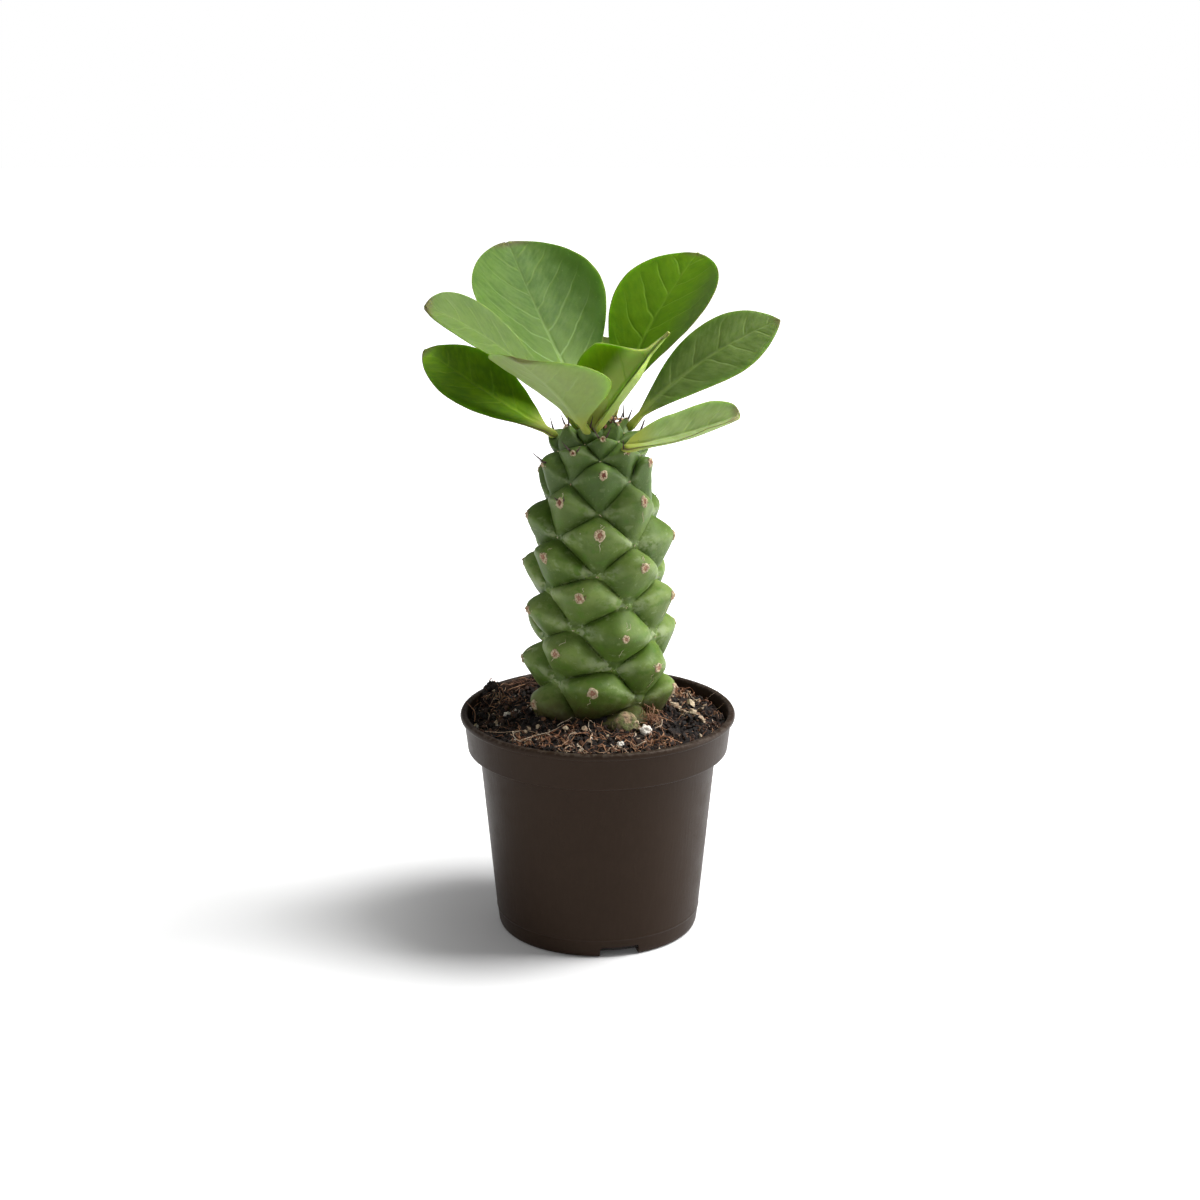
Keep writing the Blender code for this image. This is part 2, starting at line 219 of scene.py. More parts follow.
# ---- Nursery pot.
# A round pot of thin brown polypropylene, injection moulded in one shot: a stepped collar so that
# pots nest, a rolled bead for a rim, and drainage slots through the heel.

POT_HEIGHT = 0.0855
RIM_RADIUS = 0.0525
COLLAR_TOP = 0.0510
COLLAR_LOW = 0.0496
COLLAR_HEIGHT = 0.0708
BODY_TOP = 0.0453
BASE = 0.0385
WALL = 0.0012
FLOOR = 0.0015
GATE = 0.0020
DRAIN_TURNS = (-77.5, 42.5, 162.5)
DRAIN_SLOT = (0.016, 0.015, 0.008)


def select_where(obj, rule):
    """Selects the vertices for which rule(vertex) is true; the object is in edit mode."""
    skin = bmesh.from_edit_mesh(obj.data)
    for vertex in skin.verts:
        vertex.select_set(rule(vertex))
    skin.select_flush(True)
    bmesh.update_edit_mesh(obj.data)


def turn_rings(name, rings, sides):
    """Raises a ring of `sides` edges through each (radius, height), as a wheel-thrown wall is."""
    deselect()
    radius, height = rings[0]
    bpy.ops.mesh.primitive_circle_add(vertices=sides, radius=radius, location=(0, 0, height))
    made = bpy.context.object
    made.name = name
    bpy.ops.object.transform_apply(location=True, rotation=False, scale=False)
    bpy.ops.object.mode_set(mode="EDIT")
    bpy.ops.mesh.select_all(action="SELECT")
    for next_radius, next_height in rings[1:]:
        bpy.ops.mesh.extrude_region_move(TRANSFORM_OT_translate={"value": (0, 0, next_height - height)})
        scale = next_radius / radius
        bpy.ops.transform.resize(value=(scale, scale, 1), center_override=(0, 0, next_height))
        radius, height = next_radius, next_height
    bpy.ops.object.mode_set(mode="OBJECT")
    return made


def rounded(points, reach, steps):
    """Profile with each corner replaced by a short curve that starts `reach` before it."""
    smooth = [points[0]]
    for before, corner, after in zip(points, points[1:], points[2:]):
        before, corner, after = Vector(before), Vector(corner), Vector(after)
        into, out = before - corner, after - corner
        cut = min(reach, into.length * 0.45, out.length * 0.45)
        start, end = corner + into.normalized() * cut, corner + out.normalized() * cut
        for step in range(steps + 1):
            t = step / steps
            bend = start * (1 - t) ** 2 + corner * 2 * t * (1 - t) + end * t * t
            smooth.append((bend.x, bend.y))
    return smooth + [points[-1]]


def close_ends(shell, hole, middle):
    """Caps the shell's two rings inside `hole`, one below `middle` and one above it."""
    bpy.ops.object.mode_set(mode="EDIT")
    for low in (True, False):
        select_where(shell, lambda v: hypot(v.co.x, v.co.y) < hole and (v.co.z < middle) == low)
        bpy.ops.mesh.edge_face_add()
    bpy.ops.mesh.select_all(action="SELECT")
    bpy.ops.mesh.normals_make_consistent(inside=False)
    bpy.ops.object.mode_set(mode="OBJECT")


bead = POT_HEIGHT - 0.0024
outside = [
    (GATE, 0.0), (BASE - 0.0006, 0.0), (BASE, 0.0014), (BASE + 0.0006, 0.0066),
    (BASE + 0.0009, 0.0071), (BASE + 0.0008, 0.0078), (BODY_TOP, COLLAR_HEIGHT),
    (COLLAR_LOW, COLLAR_HEIGHT), (COLLAR_TOP, bead)]
rim = [(RIM_RADIUS - 0.0003, bead + 0.0001), (RIM_RADIUS, POT_HEIGHT - 0.0012),
       (RIM_RADIUS - 0.0006, POT_HEIGHT)]
inside = [
    (COLLAR_TOP - WALL, POT_HEIGHT), (COLLAR_LOW - WALL, COLLAR_HEIGHT + WALL),
    (BODY_TOP - WALL, COLLAR_HEIGHT + WALL), (BASE - WALL, FLOOR), (GATE, FLOOR)]
pot = turn_rings("nursery_pot", rounded(outside + rim + inside, reach=0.0009, steps=4), sides=256)
close_ends(pot, GATE + 0.0001, FLOOR / 2)

for turn in DRAIN_TURNS:
    deselect()
    bpy.ops.mesh.primitive_cube_add(size=1, location=(BASE - 0.001, 0, 0), scale=DRAIN_SLOT)
    punch = bpy.context.object
    bpy.ops.object.transform_apply(location=True, rotation=False, scale=True)
    punch.data.transform(Matrix.Rotation(radians(turn), 4, "Z"))
    corner = punch.modifiers.new("corner", "BEVEL")
    corner.width = 0.0009
    corner.segments = 4
    slot = pot.modifiers.new("drain", "BOOLEAN")
    slot.operation = "DIFFERENCE"
    slot.solver = "EXACT"
    slot.object = punch
    bpy.context.view_layer.objects.active = pot
    bpy.ops.object.modifier_apply(modifier="drain")
    bpy.data.objects.remove(punch, do_unlink=True)
deselect()
pot.select_set(True)
bpy.context.view_layer.objects.active = pot
bpy.ops.object.shade_smooth_by_angle(angle=radians(34))

brown, shader, place = start_finish("brown_polypropylene")
dust = place.noise(0.011, 4).ramp(0.45, 0.75) * 0.5 + place.noise(0.0012, 2).ramp(0.55, 0.8) * 0.5
drawn = place.stretched(1, 1, 0.12).noise(0.0011, 3).ramp(0.40, 0.75)
lint = place.specks(0.0065, 0.00028, 0.16)
rub = place.part("Z").ramp(0.0842, 0.0853) * place.noise(0.0016, 3).ramp(0.45, 0.62)
plastic = (dust * 0.55 + drawn * 0.15).mix((0.0235, 0.0136, 0.0086), (0.0325, 0.0205, 0.0140))
plastic = (lint * 0.45).mix(plastic, (0.25, 0.21, 0.17))
plastic = (rub * 0.5).mix(plastic, (0.085, 0.068, 0.055))
grain = place.noise(0.00035, 2) * 0.6 + drawn * 0.4
wire(shader, Base_Color=plastic, Roughness=0.44 + dust * 0.16 + lint * 0.2,
     Normal=grain.bump(0.00004), Specular_IOR_Level=0.13, Specular_Tint=(1.0, 0.84, 0.72, 1))
pot.data.materials.append(brown)
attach(pot, "root")
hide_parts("pot")


# ---- Potting mix.
# Damp peat pressed round the roots: a low mound with a clump by the left of the rim and a hollow
# next to it.  Its skin is crumbly, so it is turned as a plain disc and every point is then lifted.

MIX_RIM = 0.0805
MIX_MOUND = 0.0060
MIX_HOLE = 0.0030
MIX_EDGE = 0.0490
MIX_REACH = 0.0480
RING_STEP = 0.00034
CLUMP = (-0.0412, 0.0222)


def bell(x, y, cx, cy, spread):
    """1 at (cx, cy), and dying away round it over about `spread`."""
    return exp(-((x - cx) ** 2 + (y - cy) ** 2) / spread ** 2)


def mix_level(x, y):
    """Height of the mix as it was pressed down."""
    mound = MIX_MOUND * max(0.0, 1 - (hypot(x, y) - 0.026) / 0.026) ** 1.3
    front = 0.0030 * max(0.0, -y / 0.05) ** 1.5
    clods = 0.0009 * sin(270 * x + 1) * cos(310 * y) + 0.0006 * sin(560 * x) * sin(520 * y + 0.6)
    clump = 0.0068 * bell(x, y, *CLUMP, 0.0058)
    hollow = -0.0040 * bell(x, y, -0.0310, 0.0230, 0.0070)
    return MIX_RIM + mound + front + clods + clump + hollow


def crumbly_level(x, y):
    """Height of the mix with its clods and crumbs."""
    clods = noise.noise(Vector((x, y, 0.3)) / 0.0065) * 0.0014
    lumps = abs(noise.noise(Vector((x, y, 1.7)) / 0.0028)) * 0.0026
    crumbs = abs(noise.noise(Vector((x, y, 3.1)) / 0.0010)) * 0.0010
    room = min(1.0, (0.0492 - hypot(x, y)) / 0.0015)
    return mix_level(x, y) - 0.0010 + (clods + lumps + crumbs) * max(0.2, room)


def collar_inside(z):
    """How far the mix reaches at this height before it meets the collar."""
    climb = (z - COLLAR_HEIGHT - WALL) / (POT_HEIGHT - COLLAR_HEIGHT - WALL)
    return COLLAR_LOW - WALL + climb * (COLLAR_TOP - COLLAR_LOW) - 0.00025


bed = [(MIX_HOLE, FLOOR + 0.0003), (BASE - WALL - 0.0010, FLOOR + 0.0003),
       (BASE - WALL - 0.0004, FLOOR + 0.0010), (BODY_TOP - WALL - 0.0004, COLLAR_HEIGHT + 0.0010),
       (COLLAR_LOW - WALL - 0.0008, COLLAR_HEIGHT + 0.0016)]
top = [(MIX_EDGE - RING_STEP * step, MIX_RIM) for step in range(92)]
top += [(radius, MIX_RIM) for radius in (0.0150, 0.0100, MIX_HOLE)]
mix = turn_rings("potting_mix_surface", bed + top, 460)
for vertex in mix.data.vertices:
    x, y, z = vertex.co
    if z > MIX_RIM - 0.001:
        z = crumbly_level(x, y)
        squeeze = collar_inside(z) / hypot(x, y)
        if hypot(x, y) < MIX_EDGE - RING_STEP / 2:
            squeeze = min(1, squeeze)
        vertex.co = (x * squeeze, y * squeeze, z)
close_ends(mix, MIX_HOLE + 0.0001, MIX_RIM / 2)
bpy.ops.object.shade_smooth_by_angle(angle=radians(50))

peat, shader, place = start_finish("damp_peat")
clod = place.noise(0.0045, 4)
fleck = place.noise(0.0006, 3)
earth = clod.ramp(0.40, 0.70).mix((0.0040, 0.0024, 0.0018), (0.022, 0.0115, 0.0065))
earth = (fleck.ramp(0.60, 0.74) * 0.60).mix(earth, (0.090, 0.040, 0.020))
earth = (fleck.ramp(0.50, 0.38) * 0.8).mix(earth, (0.0022, 0.0014, 0.0011))
wire(shader, Base_Color=earth, Roughness=0.86 + clod * 0.1, Normal=(fleck + clod).bump(0.0004, 0.9))
mix.data.materials.append(peat)
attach(mix, "root")
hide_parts("potting_mix")


# ---- Crumbs, coir and bark on the mix.
# Loose peat crumbs, red-brown coir strands and chips of composted bark lie on and stick out of the
# surface.  Each kind is gathered into one piece, and every bit in it keeps its own shade.

chance = random.Random(20)


class Heap:
    """Small solids gathered into one mesh; `tone` is each bit's shade, 0 to 1."""

    def __init__(self):
        self.points, self.faces, self.tones = [], [], []

    def add(self, points, faces, tone):
        first = len(self.points)
        self.points.extend(points)
        self.faces.extend(tuple(first + i for i in face) for face in faces)
        self.tones.extend([tone] * len(points))

    def copy(self, shape, matrix, tone):
        points = [matrix @ vertex.co for vertex in shape.vertices]
        self.add(points, [tuple(face.vertices) for face in shape.polygons], tone)

    def crumb(self, place, size, wide, thick, tones=(0.0, 1.0)):
        """One crumb that has tumbled into its place, in a shade drawn between two tones."""
        shape = chance.choice(crumb_shapes)
        lie = tumbled(place, (size, size * wide, size * thick))
        self.copy(shape, lie, chance.uniform(*tones))

    def strand(self, path, radius, tone, sides=4, blunt=0.35):
        """Tube along the path; its radius is a number, taken in by `blunt` at both ends, or a function
        of the share of the path gone."""
        points, faces = [], []
        last = len(path) - 1
        for i, centre in enumerate(path):
            run = (path[min(i + 1, last)] - path[max(i - 1, 0)]).normalized()
            side = run.orthogonal().normalized()
            up = run.cross(side)
            r = radius(i / last) if callable(radius) else radius * (blunt if i in (0, last) else 1)
            for k in range(sides):
                turn = 2 * pi * k / sides
                points.append(centre + side * r * cos(turn) + up * r * sin(turn))
        for i in range(last):
            for k in range(sides):
                a, b = i * sides + k, i * sides + (k + 1) % sides
                faces.append((a, b, b + sides, a + sides))
        faces.append(tuple(range(sides))[::-1])
        faces.append(tuple(range(last * sides, (last + 1) * sides)))
        self.add(points, faces, tone)

    def piece(self, name, finish, smooth=False):
        mesh = bpy.data.meshes.new(name)
        mesh.from_pydata(self.points, [], self.faces)
        mesh.attributes.new("tone", "FLOAT", "POINT").data.foreach_set("value", self.tones)
        mesh.polygons.foreach_set("use_smooth", [smooth] * len(mesh.polygons))
        mesh.materials.append(finish)
        return set_down(name, mesh)


def rough_stone(seed):
    """One knocked-about lump about 1 unit across."""
    deselect()
    bpy.ops.mesh.primitive_ico_sphere_add(subdivisions=1, radius=0.5)
    lump = bpy.context.object
    shape = lump.data
    for vertex in shape.vertices:
        vertex.co *= 1 + 1.1 * noise.noise(vertex.co * 3.1 + Vector((seed, 0, 0)))
    bpy.data.objects.remove(lump)
    return shape


def on_mix(least=0.0235, most=0.0482):
    """Random place on the mix, as x, y."""
    r = sqrt(chance.uniform(least ** 2, most ** 2))
    turn = chance.uniform(0, 2 * pi)
    return r * cos(turn), r * sin(turn)


def tumbled(place, size):
    angle = chance.uniform(0, 2 * pi)
    axis = Vector([chance.gauss(0, 1) for _ in range(3)]).normalized()
    return Matrix.Translation(place) @ Matrix.Rotation(angle, 4, axis) @ Matrix.Diagonal((*size, 1))


crumb_shapes = [rough_stone(seed) for seed in range(7)]
crumbs = Heap()
for _ in range(2400):
    x, y = on_mix()
    size = 0.0006 + 0.0021 * chance.random() ** 2.2
    crumbs.crumb(Vector((x, y, crumbly_level(x, y) + size * 0.25)), size, 0.8, 0.7)
# Darker crumbs are heaped on the clump, up to the rim.
for _ in range(90):
    x, y = chance.gauss(CLUMP[0], 0.0026), chance.gauss(CLUMP[1], 0.0026)
    size = chance.uniform(0.0010, 0.0028)
    place = Vector((x, y, mix_level(x, y) + chance.uniform(-0.0002, 0.0014)))
    if hypot(x, y) >= MIX_REACH:
        place = Vector((x, y, 0.084)) * 0.95
    crumbs.crumb(place, size, 0.8, 0.7, tones=(0.0, 0.5))


def ground_path(x, y, turn, length, arch, sink=0.0006, curl=0.38):
    """Wandering line over the mix, which rises by `arch` in its middle and ends in the mix."""
    path = []
    steps = 8
    bend = chance.gauss(0, curl)
    for i in range(steps + 1):
        t = i / steps
        if hypot(x, y) > MIX_REACH:
            x, y = x * MIX_REACH / hypot(x, y), y * MIX_REACH / hypot(x, y)
        rise = arch * sin(pi * min(1, t * 1.15)) - sink * (1 if i in (0, steps) else 0)
        path.append(Vector((x, y, crumbly_level(x, y) + 0.0003 + rise)))
        turn += bend + chance.gauss(0, curl)
        x, y = x + cos(turn) * length / steps, y + sin(turn) * length / steps
    return path


def hair(start, end, sag, radius, tone):
    """Long root hair from start to end, bowed sideways by `sag` and thinning to its tip."""
    start, end = Vector(start), Vector(end)
    bow = (end - start).cross(Vector((0, 0, 1))).normalized() * sag
    path = [start.lerp(end, t) + bow * sin(pi * t) + Vector((0, 0, sag * 0.3 * sin(2 * pi * t)))
            for t in (i / 10 for i in range(11))]
    coir.strand(path, lambda t: radius * (1 - 0.7 * t), tone)


coir = Heap()
# Strands that lie in the mix, close together in some places and hardly any in others.
for _ in range(1000):
    x, y = on_mix(0.0235, 0.0478)
    if noise.noise(Vector((x, y, 5.0)) / 0.0065) < 0.0:
        continue
    length = chance.uniform(0.003, 0.012)
    arch = chance.choice((0.0002, 0.0006, 0.0016)) * chance.uniform(0.5, 1.3)
    coir.strand(ground_path(x, y, chance.uniform(0, 2 * pi), length, arch),
                chance.uniform(0.00008, 0.00018), chance.random() ** 1.3)
# Thicker tangles that arch up along the front and in two places at the back.
tangles = ((-0.030, -0.035), (-0.014, -0.040), (0.004, -0.043), (0.021, -0.037), (-0.040, 0.020),
           (0.030, 0.024))
for _ in range(170):
    x, y = chance.choice(tangles)
    x, y = x + chance.gauss(0, 0.005), y + chance.gauss(0, 0.004)
    if hypot(x, y) < 0.0475:
        coir.strand(ground_path(x, y, chance.uniform(0, 2 * pi), chance.uniform(0.006, 0.015),
                                chance.uniform(0.0008, 0.0030), curl=0.55),
                    chance.uniform(0.00011, 0.00023), chance.uniform(0.45, 1.0))
# A tuft of fine roots that hangs from the foot of the stem.
FIFTHS = (0, 0.2, 0.4, 0.6, 0.8, 1)
for _ in range(48):
    x, y = chance.gauss(0.0195, 0.0016), chance.gauss(-0.0205, 0.0016)
    start = Vector((x, y, 0.0890 + abs(chance.gauss(0, 0.0016))))
    bow = Vector((chance.gauss(0, 1), chance.gauss(0, 0.6), chance.gauss(0, 1))) * 0.0013
    drop = Vector((chance.gauss(0.0010, 0.0024), chance.gauss(-0.0012, 0.0012),
                   -chance.uniform(0.000, 0.003)))
    coir.strand([start + drop * t + bow * sin(pi * t) for t in FIFTHS],
                chance.uniform(0.00008, 0.00016), chance.uniform(0.45, 0.9))
# Strands that bind the clump to the inside of the collar.
for _ in range(110):
    turn = radians(chance.uniform(100, 165))
    r = chance.uniform(0.0450, 0.0485)
    start = Vector((r * cos(turn), r * sin(turn), chance.uniform(0.0815, 0.0860)))
    turn += chance.gauss(0, 0.12)
    end = Vector((r * cos(turn), r * sin(turn), start.z + chance.gauss(0.0005, 0.0016)))
    bow = Vector((chance.gauss(0, 1), chance.gauss(0, 1), abs(chance.gauss(0, 1)))) * 0.0008
    coir.strand([start.lerp(end, t) + bow * sin(pi * t) for t in FIFTHS],
                chance.uniform(0.00008, 0.00018), chance.random() ** 1.5)
# The long ones that catch the eye: two pale roots at the front left, one that hangs over the rim,
# and fine hairs that stand up by the rim.
hair((-0.0290, -0.0360, 0.0852), (-0.0125, -0.0262, 0.0885), 0.0012, 0.00020, 0.97)
hair((-0.0420, -0.0215, 0.0840), (-0.0215, -0.0330, 0.0870), -0.0020, 0.00017, 0.93)
hair((-0.0150, -0.0240, 0.0870), (-0.0095, -0.0300, 0.0925), 0.0006, 0.00017, 1.0)
hair((-0.0465, -0.0105, 0.0840), (-0.0512, 0.0020, 0.0890), 0.0018, 0.00017, 0.70)
hair((-0.0484, 0.0150, 0.0850), (-0.0515, 0.0060, 0.0965), 0.0005, 0.00010, 1.0)
hair((-0.0430, 0.0180, 0.0870), (-0.0462, 0.0100, 0.0930), -0.0006, 0.00010, 0.5)
hair((0.0425, 0.0180, 0.0835), (0.0487, 0.0110, 0.0910), 0.0005, 0.00010, 1.0)
hair((0.0445, 0.0020, 0.0830), (0.0480, -0.0020, 0.0885), 0.0008, 0.00010, 0.9)

bark = Heap()
for _ in range(120):
    x, y = on_mix(0.0245, 0.0470)
    size = chance.uniform(0.0012, 0.0040)
    bark.crumb(Vector((x, y, crumbly_level(x, y) + 0.0005)), size, 0.45, 0.22, tones=(0.0, 0.93))
pale_chips = ((0.0360, 0.0090, 0.0042, 1.00), (0.0395, 0.0060, 0.0036, 0.97),
              (0.0375, 0.0135, 0.0034, 0.98), (-0.0385, -0.0130, 0.0034, 0.97),
              (-0.0120, -0.0290, 0.0030, 1.00), (0.0240, 0.0150, 0.0034, 1.00),
              (-0.0225, -0.0225, 0.0028, 0.98))
for x, y, size, tone in pale_chips:
    place = Vector((x, y, crumbly_level(x, y) + 0.0010))
    bark.copy(chance.choice(crumb_shapes), tumbled(place, (size, size * 0.7, size * 0.5)), tone)
# A pale strip of bark, flaking into splinters, that comes forward on the right of the stem.
SPLINTERS = 34
for step in range(SPLINTERS):
    along = step / (SPLINTERS - 1)
    x = 0.0275 + 0.0125 * along + chance.gauss(0, 0.0004)
    y = 0.0030 - 0.0150 * along + chance.gauss(0, 0.0004)
    place = Matrix.Translation((x, y, crumbly_level(x, y) + chance.uniform(0.0014, 0.0024)))
    spin = Matrix.Rotation(radians(-50 + chance.gauss(0, 12)), 4, "Z")
    lie = spin @ Matrix.Rotation(chance.gauss(0, 0.3), 4, "X")
    size = Matrix.Diagonal((chance.uniform(0.0022, 0.0040), chance.uniform(0.0010, 0.0024), 0.0008, 1))
    bark.copy(chance.choice(crumb_shapes), place @ lie @ size, chance.uniform(0.93, 0.995))

humus, shader, place = start_finish("loose_humus")
soil = place.attribute("tone").shades(
    (0.0, (0.004, 0.0024, 0.0018)), (0.50, (0.014, 0.0075, 0.0045)), (0.80, (0.045, 0.020, 0.011)),
    (0.93, (0.15, 0.068, 0.032)), (1.0, (0.72, 0.58, 0.40)))
grit = place.noise(0.0003, 2)
soil = (grit.ramp(0.45, 0.70) * 0.6).mix(soil, (0.020, 0.011, 0.007))
wire(shader, Base_Color=soil, Roughness=0.82 + grit * 0.1, Normal=grit.bump(0.0001))

strands, shader, place = start_finish("coir")
fibre = place.attribute("tone").shades(
    (0.0, (0.018, 0.008, 0.005)), (0.30, (0.080, 0.030, 0.014)), (0.60, (0.28, 0.115, 0.050)),
    (0.85, (0.55, 0.30, 0.16)), (1.0, (0.85, 0.70, 0.52)))
fuzz = place.noise(0.0008, 2)
wire(shader, Base_Color=(fuzz * 0.35).mix(fibre, (0.09, 0.040, 0.02)), Roughness=0.60 + fuzz * 0.15,
     Normal=place.noise(0.0002, 1).bump(0.00005))

for piece in (crumbs.piece("peat_crumbs", humus), coir.piece("coir_strands", strands, smooth=True),
              bark.piece("bark_chips", humus)):
    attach(piece, "root")


# ---- Perlite.
# Grains of puffed volcanic glass mixed into the peat to drain it: three big ones on top, and a
# scatter of crushed bits.

puffed, shader, place = start_finish("perlite")
pits = place.noise(0.0007, 3)
dirt = place.noise(0.0016, 3).ramp(0.52, 0.70)
wire(shader, Base_Color=(dirt * 0.7).mix((0.74, 0.70, 0.62), (0.30, 0.21, 0.14)),
     Roughness=0.85 + pits * 0.1, Normal=pits.bump(0.0004))

big_grains = (("perlite_front", 0.0085, -0.0412, (0.0028, 0.0024, 0.0022), 20),
              ("perlite_right", 0.0178, -0.0300, (0.0050, 0.0040, 0.0036), 60),
              ("perlite_left", -0.0344, -0.0052, (0.0026, 0.0022, 0.0020), 10))
for name, x, y, size, turn in big_grains:
    deselect()
    bpy.ops.mesh.primitive_ico_sphere_add(subdivisions=4, radius=0.5)
    grain = bpy.context.object
    grain.name = name + "_grain"
    for vertex in grain.data.vertices:
        lumps, pores = noise.noise(vertex.co * 3.4 + Vector((turn, 0, 0))), noise.noise(vertex.co * 9)
        vertex.co *= 1 + (lumps * 0.42 + pores * 0.14)
    grain.data.transform(Matrix.Translation((x, y, mix_level(x, y) + size[2] * 0.42))
                         @ Matrix.Rotation(radians(turn), 4, "Z") @ Matrix.Diagonal((*size, 1)))
    bpy.ops.object.shade_smooth()
    grain.data.materials.append(puffed)
    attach(grain, "root")
    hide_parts(name)

bits = Heap()
scatter = [on_mix(0.0240, 0.0475) for _ in range(60)]
# These came off the grain on the left.
scatter += [(-0.0311 + chance.gauss(0, 0.0022), -0.0040 + chance.gauss(0, 0.0028)) for _ in range(14)]
for x, y in scatter:
    size = 0.0005 + 0.0011 * chance.random() ** 2
    bits.crumb(Vector((x, y, crumbly_level(x, y) + size * 0.25)), size, 0.85, 0.8)
crushed = bits.piece("perlite_bits", puffed)
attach(crushed, "root")


# ---- Stem.
# A succulent column whose skin is packed with spiralled, four-sided tubercles, each the cushion
# that a leaf once grew on.  The skin is laid one tubercle at a time, edge to edge with the next.

SHOULDER = 0.1835
CROWN_RADIUS = 0.0162
CROWN_HEIGHT = 0.0120
CROWN_REACH = 0.0240
VALLEY_RADIUS = 0.0205
TAPER_START = 0.155
SPIRAL_TURN = 135.14
SPIRAL_DROP = 0.002947
YOUNGEST, OLDEST = -13, 38
FACETS = 34
SCAB = (0.0165, -0.0235, 0.1585)


def smoothstep(x, low, high):
    """0 at low and 1 at high, with a soft start and end."""
    t = min(1.0, max(0.0, (x - low) / (high - low)))
    return t * t * (3 - 2 * t)


# No plant grows quite evenly: how far these tubercles, and the corners under them, stand from their
# place on the spiral, in degrees of turn and millimetres of height.
UNEVEN_TIPS = {
    -12: (10, -3.8), -10: (14, -0.6), -9: (1, 4.0), -7: (3, -1.3), -4: (-1, 0), -2: (-2, -0.4), -1: (-6, -1),
    1: (1.5, -1.5), 3: (-12, 4.0), 4: (-7, -0.9), 6: (5.5, 1), 9: (0.6, 1), 12: (2.6, -0.3), 14: (-2, 2),
    17: (-3, 0.3), 19: (-2, 1.6), 20: (-4, -0.4), 22: (-3, -1.4), 25: (-3, 0.3), 27: (-6, -0.8),
    30: (-3, 0.4), 32: (-6, 0.9), 33: (0.6, -0.6), 35: (3.5, 0.2)}
UNEVEN_CORNERS = {
    -12: (6, 1.2), -10: (-1, 3.6), -7: (-1, -0.1), -4: (-5, -1.4), -2: (6, -1.1), 1: (-2, -0.3),
    4: (-6, -0.2), 6: (-4, 0.5), 9: (4, -0.5), 12: (-4, 0.7), 14: (-1, 1.8), 17: (-1, 2.2), 19: (4, 2),
    20: (4, 2.6), 22: (5, 1), 25: (-3.5, 2.4), 27: (6, -0.2)}


def shifted(place, shift):
    return place + Vector((shift[0], shift[1] / 1000))


def tubercle_place(n):
    """Turn in degrees and height along the skin of the n-th tubercle, counted down from the shoulder.
    The top of the column leans left, and its tubercles crowd towards the front."""
    turn = 141.9 - SPIRAL_TURN * n - 0.0556 * n * n
    along = 0.18647 - SPIRAL_DROP * n + 0.0000038 * n * n if n >= 1 else SHOULDER + 0.00216 * (1 - n)
    top = smoothstep(along, 0.150, 0.180) * sin(radians(turn))
    return shifted(Vector((turn - 22 * top, along + 0.0035 * top)), UNEVEN_TIPS.get(n, (0, 0)))


def near(turn, reference):
    """The same turn, counted so that it is within half a circle of the reference."""
    return turn - 360 * round((turn - reference) / 360)


def lattice_corner(n):
    """Where tubercles n, n + 3, n + 5 and n + 8 meet."""
    first = tubercle_place(n)
    total = first.copy()
    for step in (3, 5, 8):
        other = tubercle_place(n + step)
        other.x = near(other.x, first.x)
        total += other
    drop = 4.5 if n >= 1 else 4.5 - 0.2 * (1 - n)
    return shifted(shifted(total / 4, (0, -drop)), UNEVEN_CORNERS.get(n, (0, 0)))


